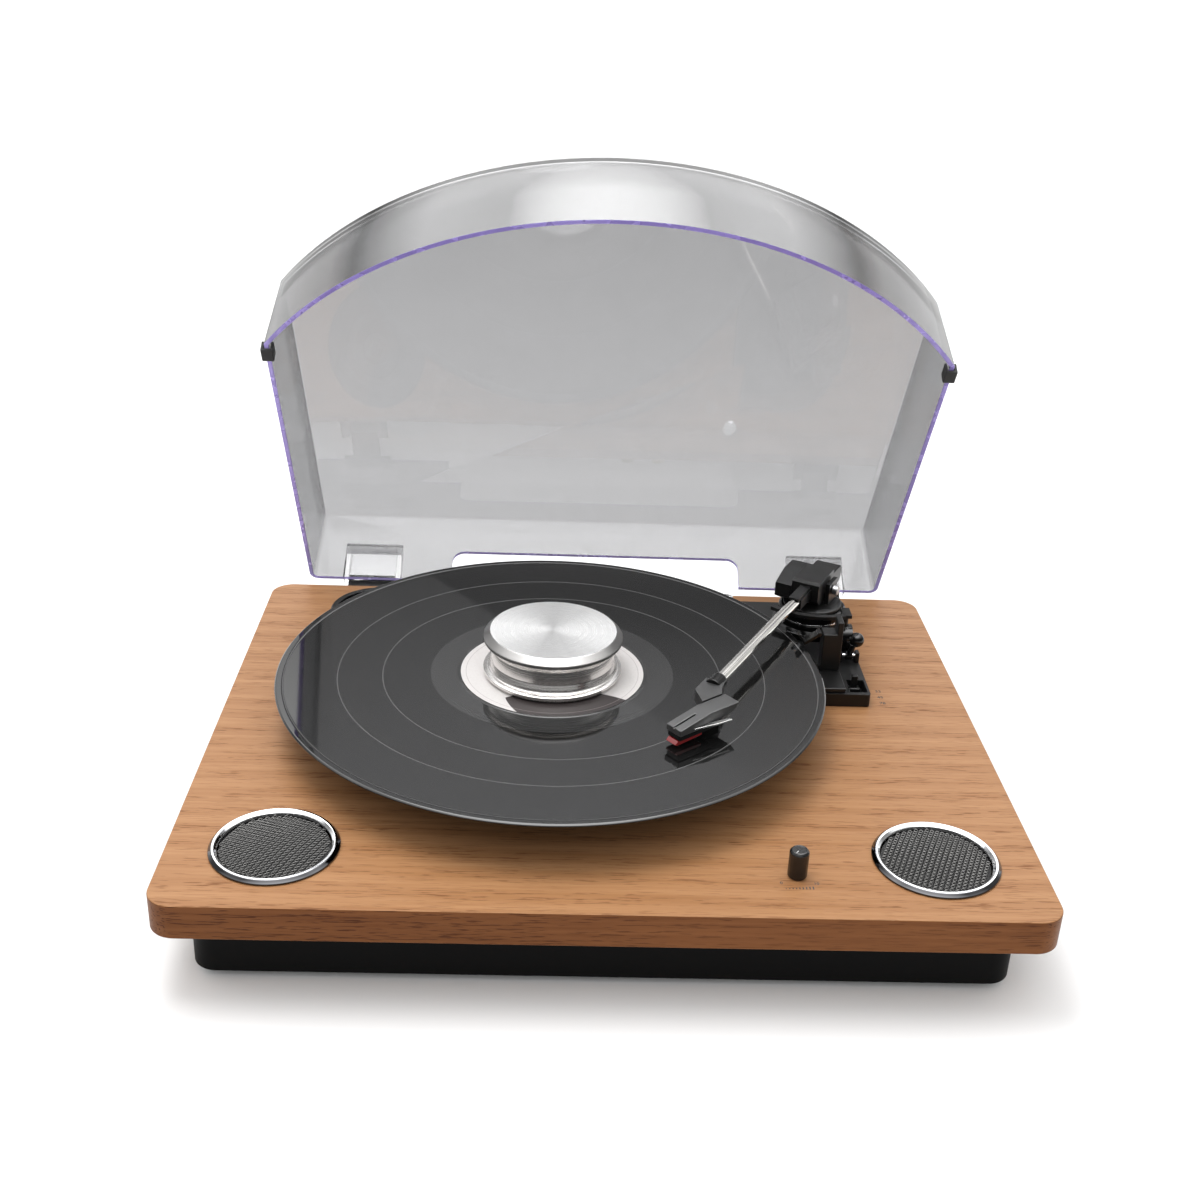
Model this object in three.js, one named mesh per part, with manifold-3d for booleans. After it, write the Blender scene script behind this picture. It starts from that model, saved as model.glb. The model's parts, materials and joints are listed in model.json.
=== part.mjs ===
// Turntable record player: wooden plinth with two built-in speakers, belt-driven platter,
// pivoted tonearm and a clear D-shaped dust cover that stands open on two rear hinges.
// Millimetres, +Z up, +X to the right and -Y towards the person using it.
// The origin is the middle of the overall box, on the surface that the feet stand on.

import * as THREE from 'three';
import { mergeVertices } from 'three/addons/utils/BufferGeometryUtils.js';
import Module from 'manifold-3d';

const wasm = await Module();
wasm.setup();

// ---------- driving dimensions ----------

const GAP = 0.3; // clearance between pieces that touch

const FRONT_Y = -205.42; // front of the wooden board; centres the overall depth with the cover open
const FOOT_H = 5;
const CASE_H = 30;
const BOARD_T = 18;
const BOARD_W = 420;
const BOARD_D = 342;
const BOARD_CORNER_R = 13;
const CASE_INSET = 15;
const CASE_WALL = 3;
const DECK_Z = FOOT_H + CASE_H + BOARD_T; // top of the wooden board

const SPINDLE = { x: -28.4, y: 183.8 }; // measured from the middle and the front of the board
const RECORD_R = 150.8;
const RECORD_TOP = 25.5; // heights above the board
const RECORD_T = 2.2;
const SPINDLE_R = 3.55;
const PLATTER_R = 131; // small enough to hide under the record
const PLATTER_TOP = 21.3;
const PLATTER_SKIRT_Z = 10.3;
const BELT_RING_R = 91;
const PULLEY_R = 6.3;
const PULLEY_DISTANCE = 112;
const PULLEY_ANGLE = THREE.MathUtils.degToRad(225);
const BELT_T = 0.8;
const BELT_CLEARANCE = 0.4; // allows for the flats of the two faceted rims

const SPEAKER = { x: 158.5, y: 47, r: 31 };
const KNOB = { x: 89, y: 32.5, r: 4.7, top: 15 };
const ADAPTER = { x: -138, y: 306, r: 30.8 };

const ARM_PIVOT = { x: 131.7, y: 283.7 };
const ARM_ANGLE = THREE.MathUtils.degToRad(-28.65); // arm at the middle of the record side
const TUBE_Z = 38;
const TUBE_R = 3.15;
const HEAD_OFFSET = THREE.MathUtils.degToRad(22.7);

const LID_OPEN = THREE.MathUtils.degToRad(60);
const HINGE_Y = 345; // hinge axis, just behind the board's back face
const HINGE_Z = -24; // and below the board, under its overhang
const HINGE_X = 150.5;
const LID_REAR = -3.5; // closed cover, measured from the hinge axis
const LID_RIM = 27.2;
const LID_HALF_W = 191.3;
const LID_SIDE = 222; // depth of the straight sides
const LID_DEPTH = 318; // depth to the middle of the curved front
const LID_H = 52.7;
const LID_WALL = 2.6;
const LID_DRAFT = 3.2;

const LIFT_STEM = { x: 146.7, y: 253.5, r: 2, domeR: 7.5, shoulder: 16.5 };
const LIFT_RAIL = { r0: 38.5, r1: 42, from: -2.38, to: -1.25, t: 2.2 };

// ---------- finishes ----------

function finish(color, roughness, metalness = 0, opacity = 1) {
  return new THREE.MeshStandardMaterial({ color, roughness, metalness, opacity, transparent: opacity < 1 });
}

const WOOD = finish(0xc99b70, 0.45);
const BLACK_SATIN = finish(0x161617, 0.45);
const BLACK_GLOSS = finish(0x0e0e10, 0.2);
const BLACK_MATTE = finish(0x1c1c1e, 0.75);
const RUBBER = finish(0x141414, 0.9);
const CHROME = finish(0xd8dadd, 0.12, 1);
const STEEL = finish(0xb5b8bb, 0.3, 1);
const ALUMINIUM = finish(0xcfd1d3, 0.28, 1);
const VINYL = finish(0x0b0b0c, 0.25);
const FELT = finish(0x222224, 0.95);
const RUBY = finish(0xb01218, 0.3);
const GREEN_BOARD = finish(0x1f5a35, 0.5);
const BRASS = finish(0xb8923f, 0.35, 1);
const CLEAR = finish(0xbfc0c6, 0.08, 0, 0.3);

// ---------- shaping ----------

function solid(geometry) {
  const bare = geometry.clone();
  bare.deleteAttribute('normal');
  bare.deleteAttribute('uv');
  const merged = mergeVertices(bare, 1e-4);
  const vertProperties = new Float32Array(merged.attributes.position.array);
  const triVerts = new Uint32Array(merged.index.array);
  return new wasm.Manifold(new wasm.Mesh({ numProp: 3, vertProperties, triVerts }));
}

function toGeometry(manifold) {
  const mesh = manifold.getMesh();
  const geometry = new THREE.BufferGeometry();
  geometry.setAttribute('position', new THREE.BufferAttribute(mesh.vertProperties, 3));
  geometry.setIndex(new THREE.BufferAttribute(mesh.triVerts, 1));
  geometry.computeVertexNormals();
  return geometry;
}

function cut(body, ...tools) {
  return toGeometry(tools.reduce((left, tool) => left.subtract(solid(tool)), solid(body)));
}

function join(...bodies) {
  return toGeometry(bodies.slice(1).reduce((sum, body) => sum.add(solid(body)), solid(bodies[0])));
}

// A solid of revolution about +Z. The profile is [radius, height] pairs, anticlockwise.
function turned(profile, segments = 32) {
  const points = profile.map(([radius, height]) => new THREE.Vector2(radius, height));
  return new THREE.LatheGeometry(points, segments).rotateX(Math.PI / 2);
}

function closedRing(profile, segments) {
  return turned([...profile, profile[0]], segments);
}

function rod(radius, low, high, segments = 20) {
  return turned([[0, low], [radius, low], [radius, high], [0, high]], segments);
}

function rodAlongX(radius, from, to, segments = 16) {
  return rod(radius, from, to, segments).rotateY(Math.PI / 2);
}

function rodAlongY(radius, from, to, segments = 16) {
  return rod(radius, from, to, segments).rotateX(-Math.PI / 2);
}

function block(x0, x1, y0, y1, z0, z1) {
  const box = new THREE.BoxGeometry(x1 - x0, y1 - y0, z1 - z0);
  return box.translate((x0 + x1) / 2, (y0 + y1) / 2, (z0 + z1) / 2);
}

function slab(shape, low, high, curveSegments = 6) {
  const options = { depth: high - low, bevelEnabled: false, curveSegments };
  return new THREE.ExtrudeGeometry(shape, options).translate(0, 0, low);
}

// A side profile of [y, z] pairs, extruded along X.
function profileAlongX(points, x0, x1) {
  const shape = new THREE.Shape(points.map(([y, z]) => new THREE.Vector2(y, z)));
  const body = new THREE.ExtrudeGeometry(shape, { depth: x1 - x0, bevelEnabled: false });
  return body.rotateX(Math.PI / 2).rotateZ(Math.PI / 2).translate(x0, 0, 0);
}

function roundedRectangle(width, depth, radius, centreY = 0) {
  const [w, d, r] = [width / 2, depth / 2, radius];
  const shape = new THREE.Shape();
  shape.absarc(w - r, centreY - d + r, r, -Math.PI / 2, 0);
  shape.absarc(w - r, centreY + d - r, r, 0, Math.PI / 2);
  shape.absarc(-w + r, centreY + d - r, r, Math.PI / 2, Math.PI);
  shape.absarc(-w + r, centreY - d + r, r, Math.PI, 1.5 * Math.PI);
  return shape;
}

// ---------- assembly ----------

const group = new THREE.Group();

// The deck group measures x from the middle of the board, y from its front and z from its top.
const deck = new THREE.Group();
deck.position.set(0, FRONT_Y, DECK_Z);
group.add(deck);

function add(parent, name, geometry, material, x = 0, y = 0, z = 0) {
  const mesh = new THREE.Mesh(geometry, material);
  mesh.name = name;
  mesh.position.set(x, y, z);
  parent.add(mesh);
  return mesh;
}

// ---------- plinth and case ----------

function pulleyPlace() {
  return {
    x: SPINDLE.x + PULLEY_DISTANCE * Math.cos(PULLEY_ANGLE),
    y: SPINDLE.y + PULLEY_DISTANCE * Math.sin(PULLEY_ANGLE),
  };
}

function plinthBoard() {
  const blank = slab(roundedRectangle(BOARD_W, BOARD_D, BOARD_CORNER_R, BOARD_D / 2), -BOARD_T, 0);
  const through = (r, x, y, segments) => rod(r, -BOARD_T - 1, 1, segments).translate(x, y, 0);
  const pulley = pulleyPlace();
  return cut(
    blank,
    through(SPEAKER.r - 3.5, -SPEAKER.x, SPEAKER.y, 28),
    through(SPEAKER.r - 3.5, SPEAKER.x, SPEAKER.y, 28),
    through(3.6, KNOB.x, KNOB.y, 12),
    through(7.6, SPINDLE.x, SPINDLE.y, 16),
    through(5, pulley.x, pulley.y, 12),
    rod(ADAPTER.r - 3, -8, 1, 28).translate(ADAPTER.x, ADAPTER.y, 0),
  );
}

function baseCase() {
  const width = BOARD_W - 2 * CASE_INSET;
  const depth = BOARD_D - 2 * CASE_INSET;
  const outer = roundedRectangle(width, depth, 12, BOARD_D / 2);
  const inner = roundedRectangle(width - 2 * CASE_WALL, depth - 2 * CASE_WALL, 9, BOARD_D / 2);
  const wall = cut(
    slab(outer, -BOARD_T - CASE_H, -BOARD_T - GAP),
    slab(inner, -BOARD_T - CASE_H - 1, -BOARD_T + 1),
  );
  const rear = BOARD_D - CASE_INSET;
  return cut(wall, block(-58, 58, rear - CASE_WALL - 1, rear + 1, -43, -24));
}

function bottomCover() {
  const width = BOARD_W - 2 * (CASE_INSET + CASE_WALL + GAP);
  const depth = BOARD_D - 2 * (CASE_INSET + CASE_WALL + GAP);
  const low = -BOARD_T - CASE_H + GAP;
  return slab(roundedRectangle(width, depth, 8.7, BOARD_D / 2), low, low + CASE_WALL);
}

function foot() {
  return turned([[0, 0], [10, 0], [11, 1], [9, FOOT_H], [0, FOOT_H]], 14);
}

add(deck, 'plinth_board', plinthBoard(), WOOD);
add(deck, 'base_case', baseCase(), BLACK_SATIN);
add(deck, 'bottom_cover', bottomCover(), BLACK_MATTE);
for (const [end, y] of [['front', 48], ['rear', BOARD_D - 48]]) {
  for (const [side, x] of [['left', -160], ['right', 160]]) {
    add(deck, `foot_${end}_${side}`, foot(), RUBBER, x, y, -DECK_Z);
  }
}

// ---------- speakers ----------

function speakerBezel() {
  const r = SPEAKER.r;
  return closedRing([
    [r - 4.2, -3], [r - 3.8, -3], [r - 3.8, GAP], [r, GAP],
    [r, 1], [r - 1.4, 2.6], [r - 2.8, 2.6], [r - 4.2, 1.2],
  ], 28);
}

function speakerGrille() {
  const r = SPEAKER.r - 4.2 - GAP;
  return turned([[0, 0], [r, -0.8], [r, 0.4], [r * 0.6, 1.6], [0, 2.2]], 28);
}

function speakerDriver() {
  return turned([
    [0, -31], [13, -31], [13, -23], [15, -23], [25.5, -10], [25.5, -3.6], [22, -3.6], [9, -10], [0, -8],
  ], 20);
}

for (const [side, x] of [['left', -SPEAKER.x], ['right', SPEAKER.x]]) {
  add(deck, `speaker_bezel_${side}`, speakerBezel(), CHROME, x, SPEAKER.y);
  add(deck, `speaker_grille_${side}`, speakerGrille(), BLACK_MATTE, x, SPEAKER.y);
  add(deck, `speaker_driver_${side}`, speakerDriver(), BLACK_MATTE, x, SPEAKER.y);
}

// ---------- volume control ----------

function volumePotentiometer() {
  const can = block(-8.5, 8.5, -8.5, 8.5, -29, -BOARD_T - GAP);
  return join(can, rod(3, -20, 8, 12));
}

function volumeKnob() {
  const { r, top } = KNOB;
  const outer = turned([[0, 0.4], [r, 0.4], [r, top - 1], [r - 1, top], [0, top]], 16);
  return cut(outer, rod(3 + GAP, 0, 8 + GAP, 12));
}

add(deck, 'volume_potentiometer', volumePotentiometer(), STEEL, KNOB.x, KNOB.y);
add(deck, 'volume_knob', volumeKnob(), BLACK_SATIN, KNOB.x, KNOB.y);

// ---------- electronics ----------

function circuitBoard() {
  const board = block(-62, 62, 255, 312, -41, -39.4);
  const amplifier = block(-40, -16, 264, 272, -39.6, -24);
  const capacitor = rod(6, -39.6, -25, 12).translate(30, 275, 0);
  return join(board, amplifier, capacitor);
}

const JACK_Y = BOARD_D - CASE_INSET + GAP; // outer face of the case's rear wall
const JACK_Z = -33.5;
const JACKS = [
  { name: 'power_jack', r: 5.5, bore: 3.3, out: 3, places: [-42], material: BLACK_SATIN },
  { name: 'aux_jack', r: 4.2, bore: 1.8, out: 4.5, places: [-14], material: BLACK_SATIN },
  { name: 'line_out_jacks', r: 4.2, bore: 1.6, out: 9, places: [16, 38], material: BRASS },
];

function jackPanel() {
  const plate = block(-62, 62, JACK_Y, JACK_Y + 2, -45, -22);
  const holes = JACKS.flatMap(({ places, r }) => (
    places.map((x) => rodAlongY(r + GAP, -1, 3, 14).translate(x, JACK_Y, JACK_Z))
  ));
  return cut(plate, ...holes);
}

function jack({ r, bore, out, places }) {
  const body = block(Math.min(...places) - 6, Math.max(...places) + 6, -14, -5, -5.5, 5.5);
  const barrels = places.map((x) => rodAlongY(r, -6, 2 + out, 14).translate(x, 0, 0));
  const bores = places.map((x) => rodAlongY(bore, -10, 3 + out, 10).translate(x, 0, 0));
  return cut(join(body, ...barrels), ...bores);
}

add(deck, 'circuit_board', circuitBoard(), GREEN_BOARD);
add(deck, 'rear_jack_panel', jackPanel(), BLACK_SATIN);
for (const socket of JACKS) {
  add(deck, socket.name, jack(socket), socket.material, 0, JACK_Y, JACK_Z);
}

// ---------- motor and belt ----------

function motor() {
  const can = turned([[0, -42], [16, -42], [17, -41], [17, -18.6], [0, -18.6]], 18);
  return join(can, rod(1, -20, 17.5, 10));
}

function motorPulley() {
  const r = PULLEY_R;
  return closedRing([[1 + GAP, 10.6], [r + 1.2, 10.6], [r + 1.2, 11.6], [r, 12], [r, 18], [1 + GAP, 18]], 16);
}

function arcPoints(centreX, radius, from, to, steps) {
  return Array.from({ length: steps + 1 }, (_, i) => {
    const angle = from + ((to - from) * i) / steps;
    return new THREE.Vector2(centreX + radius * Math.cos(angle), radius * Math.sin(angle));
  });
}

// Two arcs joined by their outer tangents, at a distance outside the two driven rims.
function beltOutline(offset) {
  const big = BELT_RING_R + offset;
  const small = PULLEY_R + offset;
  const wrap = Math.acos((big - small) / PULLEY_DISTANCE);
  return new THREE.Shape([
    ...arcPoints(0, big, wrap, 2 * Math.PI - wrap, 36),
    ...arcPoints(PULLEY_DISTANCE, small, -wrap, wrap, 6),
  ]);
}

function driveBelt() {
  const outer = slab(beltOutline(BELT_CLEARANCE + BELT_T), 12.6, 17.4);
  const inner = slab(beltOutline(BELT_CLEARANCE), 12, 18);
  return cut(outer, inner).rotateZ(PULLEY_ANGLE);
}

const pulley = pulleyPlace();
add(deck, 'motor', motor(), STEEL, pulley.x, pulley.y);
add(deck, 'motor_pulley', motorPulley(), BRASS, pulley.x, pulley.y);
add(deck, 'drive_belt', driveBelt(), RUBBER, SPINDLE.x, SPINDLE.y);

// ---------- platter, record and weight ----------

function spindleBearing() {
  const bore = SPINDLE_R + GAP;
  return closedRing([[bore, -29], [7, -29], [7, GAP], [13, GAP], [13, 3], [7, 3], [7, 8], [bore, 8]], 16);
}

function spindle() {
  return turned([[0, -28], [SPINDLE_R, -28], [SPINDLE_R, 33], [1.5, 36.5], [0, 36.5]], 12);
}

function platter() {
  const [bore, low, top] = [SPINDLE_R + GAP, PLATTER_SKIRT_Z, PLATTER_TOP];
  const under = top - 3;
  return closedRing([
    [bore, low], [14, low], [16, under], [BELT_RING_R - 3, under], [BELT_RING_R - 3, low], [BELT_RING_R, low],
    [BELT_RING_R, under], [PLATTER_R - 3, under], [PLATTER_R - 3, low], [PLATTER_R, low], [PLATTER_R, top],
    [bore, top],
  ], 44);
}

function slipMat() {
  const low = PLATTER_TOP + GAP;
  const high = RECORD_TOP - RECORD_T - GAP;
  const [bore, r] = [SPINDLE_R + GAP, PLATTER_R - 1];
  return closedRing([[bore, low], [r, low], [r, high], [bore, high]], 40);
}

function record() {
  const [bore, top, low, r] = [SPINDLE_R + GAP, RECORD_TOP, RECORD_TOP - RECORD_T, RECORD_R];
  return closedRing([
    [bore, low], [r - 0.8, low], [r, low + 0.8], [r, top - 0.9], [r - 0.8, top - 0.2], [r - 4, top - 0.2],
    [r - 5, top - 0.4], [52, top - 0.4], [51, top], [bore, top],
  ], 60);
}

function recordWeight() {
  const low = RECORD_TOP + GAP;
  const body = turned([
    [0, low], [38.2, low], [38.2, low + 2.4], [34.4, low + 4.6],
    [33.8, 41], [36, 44.5], [38.2, 46], [38.2, 47.6], [34.8, 51], [0, 51],
  ], 36);
  return cut(body, rod(SPINDLE_R + GAP, 20, 38, 12));
}

add(deck, 'spindle_bearing', spindleBearing(), BRASS, SPINDLE.x, SPINDLE.y);
add(deck, 'spindle', spindle(), STEEL, SPINDLE.x, SPINDLE.y);
add(deck, 'platter', platter(), BLACK_SATIN, SPINDLE.x, SPINDLE.y);
add(deck, 'slip_mat', slipMat(), FELT, SPINDLE.x, SPINDLE.y);
add(deck, 'record', record(), VINYL, SPINDLE.x, SPINDLE.y);
add(deck, 'record_weight', recordWeight(), ALUMINIUM, SPINDLE.x, SPINDLE.y);

// ---------- adapter for large-hole records, in its dished holder ----------

function adapterCup() {
  const r = ADAPTER.r;
  return turned([
    [0, -7.6], [r - 3.4, -7.6], [r - 3.4, GAP], [r, GAP], [r, 1.2],
    [r - 1, 2.2], [r - 4.4, 2.2], [r - 5.4, -6], [0, -6],
  ], 28);
}

function singleAdapter() {
  return closedRing([[3.9, -5.6], [18.6, -5.6], [19.1, -5], [19.1, -0.5], [17, 0.4], [3.9, 0.4]], 24);
}

function transportScrew() {
  const head = turned([[0, 3], [4.6, 3], [4.9, 3.6], [4.4, 5.6], [0, 5.9]], 16);
  const stem = rod(2, GAP, 3.2, 10);
  return cut(join(head, stem), block(-6, 6, -0.6, 0.6, 5, 7));
}

add(deck, 'adapter_cup', adapterCup(), BLACK_GLOSS, ADAPTER.x, ADAPTER.y);
add(deck, 'single_adapter', singleAdapter(), BLACK_SATIN, ADAPTER.x, ADAPTER.y);
add(deck, 'transport_screw', transportScrew(), CHROME, 84, 328);

// ---------- tonearm base ----------

const BASE_TOP = 8;
const BASE_RIGHT = 154;
const BASE_FRONT = 196;
const BASE_BACK = 316.5;
const COVER_TOP = 10.8;
const SELECTOR_SLOT = { x0: 142.6, x1: 152.6, y0: 199, y1: 213.5 };

function armBasePlate() {
  const shape = new THREE.Shape();
  shape.moveTo(102, BASE_FRONT);
  shape.lineTo(BASE_RIGHT - 2, BASE_FRONT);
  shape.absarc(BASE_RIGHT - 2, BASE_FRONT + 2, 2, -Math.PI / 2, 0);
  shape.absarc(BASE_RIGHT - 32, BASE_BACK - 32, 32, 0, Math.PI / 2);
  shape.lineTo(88, BASE_BACK);
  shape.lineTo(88, 250);
  const { x0, x1, y0, y1 } = SELECTOR_SLOT;
  return cut(slab(shape, GAP, BASE_TOP, 8), block(x0, x1, y0, y1, 2.4, BASE_TOP + 1));
}

function armBaseCover() {
  const shape = new THREE.Shape();
  shape.moveTo(120, BASE_FRONT + 1.5);
  shape.lineTo(139.5, BASE_FRONT + 1.5);
  shape.lineTo(139.5, 256);
  shape.lineTo(107, 256);
  return slab(shape, BASE_TOP + GAP, COVER_TOP);
}

function armPivotColumn() {
  return turned([
    [0, BASE_TOP + GAP], [23.5, BASE_TOP + GAP], [23.5, 12], [20.5, 13.4], [20.5, 17],
    [19.2, 17], [19.2, 18.2], [20.5, 18.2], [20.5, 22.6], [19, 23.6], [0, 23.6],
  ], 24);
}

function armLiftHousing() {
  const { y, domeR, shoulder } = LIFT_STEM;
  const dome = new THREE.Shape();
  dome.moveTo(y - domeR, BASE_TOP + GAP);
  dome.lineTo(y + domeR, BASE_TOP + GAP);
  dome.absarc(y, shoulder, domeR, 0, Math.PI);
  const body = new THREE.ExtrudeGeometry(dome, { depth: 9, bevelEnabled: false, curveSegments: 10 });
  body.rotateX(Math.PI / 2).rotateZ(Math.PI / 2).translate(142.2, 0, 0);
  return cut(body, rod(LIFT_STEM.r + GAP, 11, 30, 12).translate(LIFT_STEM.x, LIFT_STEM.y, 0));
}

const CUE = { x: 149.4, y: 237.3, z: 12 };

function cueBracket() {
  const left = block(141.4, 143.4, CUE.y - 2.5, CUE.y + 2.5, BASE_TOP + GAP, 14.5);
  const bridge = block(141.4, 153.6, CUE.y + 4, CUE.y + 6, BASE_TOP + GAP, 11);
  const link = block(141.4, 143.4, CUE.y, CUE.y + 5, BASE_TOP + GAP, 11);
  const rightLink = block(151.6, 153.6, CUE.y, CUE.y + 5, BASE_TOP + GAP, 11);
  const right = block(151.6, 153.6, CUE.y - 2.5, CUE.y + 2.5, BASE_TOP + GAP, 14.5);
  const bore = rodAlongX(1 + GAP, 140, 155, 12).translate(0, CUE.y, CUE.z);
  return cut(join(left, bridge, link, rightLink, right), bore);
}

function cueLever() {
  const stem = block(-1.6, 1.6, -1.6, 1.6, 0, 13);
  const knob = new THREE.SphereGeometry(4.3, 12, 8).translate(0, 0, 15);
  const hub = rodAlongX(2.6, -1.8, 1.8, 14);
  const bore = rodAlongX(1 + GAP, -4, 4, 12);
  return cut(join(stem, hub, knob), bore).rotateX(THREE.MathUtils.degToRad(25));
}

add(deck, 'arm_base_plate', armBasePlate(), BLACK_SATIN);
add(deck, 'arm_base_cover', armBaseCover(), BLACK_SATIN);
add(deck, 'arm_pivot_column', armPivotColumn(), BLACK_GLOSS, ARM_PIVOT.x, ARM_PIVOT.y);
add(deck, 'arm_lift_housing', armLiftHousing(), BLACK_GLOSS);
add(deck, 'cue_bracket', cueBracket(), BLACK_SATIN);
add(deck, 'cue_pin', rodAlongX(1, 140.6, 154.2, 12), CHROME, 0, CUE.y, CUE.z);
add(deck, 'cue_lever', cueLever(), BLACK_SATIN, CUE.x - 1.9, CUE.y, CUE.z);

// ---------- speed selector ----------

function speedSelector() {
  const shoe = block(-3.6, 3.6, -2.4, 2.4, 2.8, 5.2);
  const nub = block(-1.7, 1.7, -1.6, 1.6, 5, 13);
  return join(shoe, nub);
}

add(deck, 'speed_selector', speedSelector(), BLACK_SATIN, 146.6, 210.4);

// ---------- arm rest ----------

const REST = { x0: 127.8, x1: 139, y0: 219, y1: 229, floor: 34.2, prong: 42 };
const CLIP = { x: 125.9, z: 33 };
const CLIP_OPEN = THREE.MathUtils.degToRad(125);

function armRestPost() {
  const { x0, x1, y0, y1, floor, prong } = REST;
  const low = COVER_TOP + GAP;
  const prongLeft = ARM_PIVOT.x + TUBE_R + 0.8;
  return join(block(x0, x1, y0, y1, low, floor), block(prongLeft, x1, y0, y1, floor - 1, prong));
}

function armRestClip() {
  const [y0, y1] = [REST.y0 + 2, REST.y1 - 2];
  const leg = block(-1, 1, y0, y1, 0, 10);
  const bar = block(-1, 6.6, y0, y1, 9.2, 10.8);
  const barrel = rodAlongY(1.5, y0, y1, 12);
  return join(leg, bar, barrel).rotateY(-CLIP_OPEN);
}

add(deck, 'arm_rest_post', armRestPost(), BLACK_SATIN);
add(deck, 'arm_rest_clip', armRestClip(), BLACK_GLOSS, CLIP.x, 0, CLIP.z);

// ---------- tonearm ----------

// The arm group stands on the pivot. In it the tube points along -Y, and heights are the deck's.
const arm = new THREE.Group();
arm.position.set(ARM_PIVOT.x, ARM_PIVOT.y, 0);
arm.rotation.z = ARM_ANGLE;
deck.add(arm);

const YOKE_LOW = 23.9;
const CHEEK_TOP = 44;

function armYoke() {
  const turret = turned([[0, YOKE_LOW], [18, YOKE_LOW], [18, 25.2], [14, 28], [0, 28]], 24);
  const rightCheek = block(9.4, 12, -6, 8, 24.5, 41);
  const leftCheek = profileAlongX(
    [[-16, 39.4], [-16, 31], [-4, 24.5], [12, 24.5], [12, CHEEK_TOP], [-2.5, CHEEK_TOP]], -19.5, -9.4,
  );
  const bore = rodAlongX(1.5 + GAP, -12, 14, 12).translate(0, 0, TUBE_Z - 2);
  return cut(join(turret, rightCheek, leftCheek), bore);
}

function armHousing() {
  const main = profileAlongX(
    [[-17, 43.4], [-17, 33], [-13, 29.4], [10, 29.4], [10, 45], [-15.5, 45]], -8.6, 8.6,
  );
  const chamfer = block(-8, 8, -30, 30, 0, 6).rotateY(THREE.MathUtils.degToRad(42)).translate(11.4, 0, 44.4);
  const clamp = block(-3.9, 3.9, -34, -16, TUBE_Z - 4.2, TUBE_Z + 2);
  const ridge = block(-3.1, 3.1, -37, -16, TUBE_Z + 1, TUBE_Z + 4);
  const socket = rodAlongY(TUBE_R + GAP, -40, -14, 16).translate(0, 0, TUBE_Z);
  const pinBore = rodAlongX(1.5 + GAP, -12, 14, 12).translate(0, 0, TUBE_Z - 2);
  return cut(join(main, clamp, ridge), chamfer, socket, pinBore);
}

function armPivotPin() {
  return join(rodAlongX(1.5, -11.5, 14, 12), rodAlongX(3, 12 + GAP, 15.6, 16));
}

function armCounterweight() {
  return profileAlongX([[11, 41.6], [10.3, 31], [25, 31], [27.5, 33.5], [27.5, 40], [25.6, 41.6]], -8, 8);
}

const TUBE_END = -156;

function armTube() {
  return rodAlongY(TUBE_R, TUBE_END, -14 - GAP, 20);
}

function headConnector() {
  const shape = new THREE.Shape();
  shape.moveTo(-5.6, TUBE_END + 3);
  shape.lineTo(-5.6, -167.5);
  shape.lineTo(3.1, -177.6);
  shape.lineTo(8.5, -164.6);
  shape.lineTo(6.4, -160);
  shape.lineTo(5, TUBE_END + 3);
  const plug = slab(shape, TUBE_Z - 4.6, TUBE_Z + 2.4);
  const sleeve = rodAlongY(TUBE_R + 1.5, TUBE_END + 2, TUBE_END + 8, 18).translate(0, 0, TUBE_Z);
  const bore = rodAlongY(TUBE_R + GAP, TUBE_END - GAP, TUBE_END + 12, 18).translate(0, 0, TUBE_Z);
  return cut(join(plug, sleeve), bore);
}

// The head group turns the shell inwards by the offset angle. Its origin is at the stylus tip.
const head = new THREE.Group();
head.position.set(0.6, -198.2, 0);
head.rotation.z = -HEAD_OFFSET;
arm.add(head);

const HEAD_HALF_W = 5.3;

function headshell() {
  const side = [[-5, 32.6], [-5, 36], [15.5, 39.8], [36, 39.8], [33, 35.6], [16, 32.6]];
  const shell = profileAlongX(side.reverse(), -HEAD_HALF_W, HEAD_HALF_W);
  const slot = block(-0.5, 0.5, -6, 10, 35.3, 42);
  return cut(shell, slot);
}

function cartridge() {
  return profileAlongX([[-4.4, 29.6], [18, 29.6], [20, 32.3], [-4.4, 32.3]], -4.6, 4.6);
}

function stylusAssembly() {
  const grip = profileAlongX([[-6.4, 27.6], [-5.2, 26.9], [12, 27.6], [12, 29.3], [-4.8, 29.3]], -3.6, 3.6);
  const tip = new THREE.ConeGeometry(0.7, 2.2, 8).rotateX(-Math.PI / 2).translate(0, 0, 26.5);
  return join(grip, tip);
}

function fingerLift() {
  const shape = new THREE.Shape();
  shape.moveTo(HEAD_HALF_W + GAP, 4);
  shape.lineTo(HEAD_HALF_W + 3.6, 18);
  shape.lineTo(HEAD_HALF_W + 4.6, 27);
  shape.lineTo(HEAD_HALF_W + 2.4, 27);
  shape.lineTo(HEAD_HALF_W + GAP, 15);
  return slab(shape, 33.6, 34.6);
}

add(arm, 'arm_yoke', armYoke(), BLACK_GLOSS);
add(arm, 'arm_housing', armHousing(), BLACK_GLOSS);
add(arm, 'arm_pivot_pin', armPivotPin(), STEEL, 0, 0, TUBE_Z - 2);
add(arm, 'arm_counterweight', armCounterweight(), BLACK_SATIN);
add(arm, 'arm_tube', armTube(), CHROME, 0, 0, TUBE_Z);
add(arm, 'head_connector', headConnector(), BLACK_SATIN);
add(head, 'headshell', headshell(), BLACK_SATIN);
add(head, 'cartridge', cartridge(), BLACK_GLOSS);
add(head, 'stylus', stylusAssembly(), RUBY);
add(head, 'finger_lift', fingerLift(), STEEL);

// ---------- arm lift rail, an arc under the tube on a stem that rises from the lift housing ----------

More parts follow.
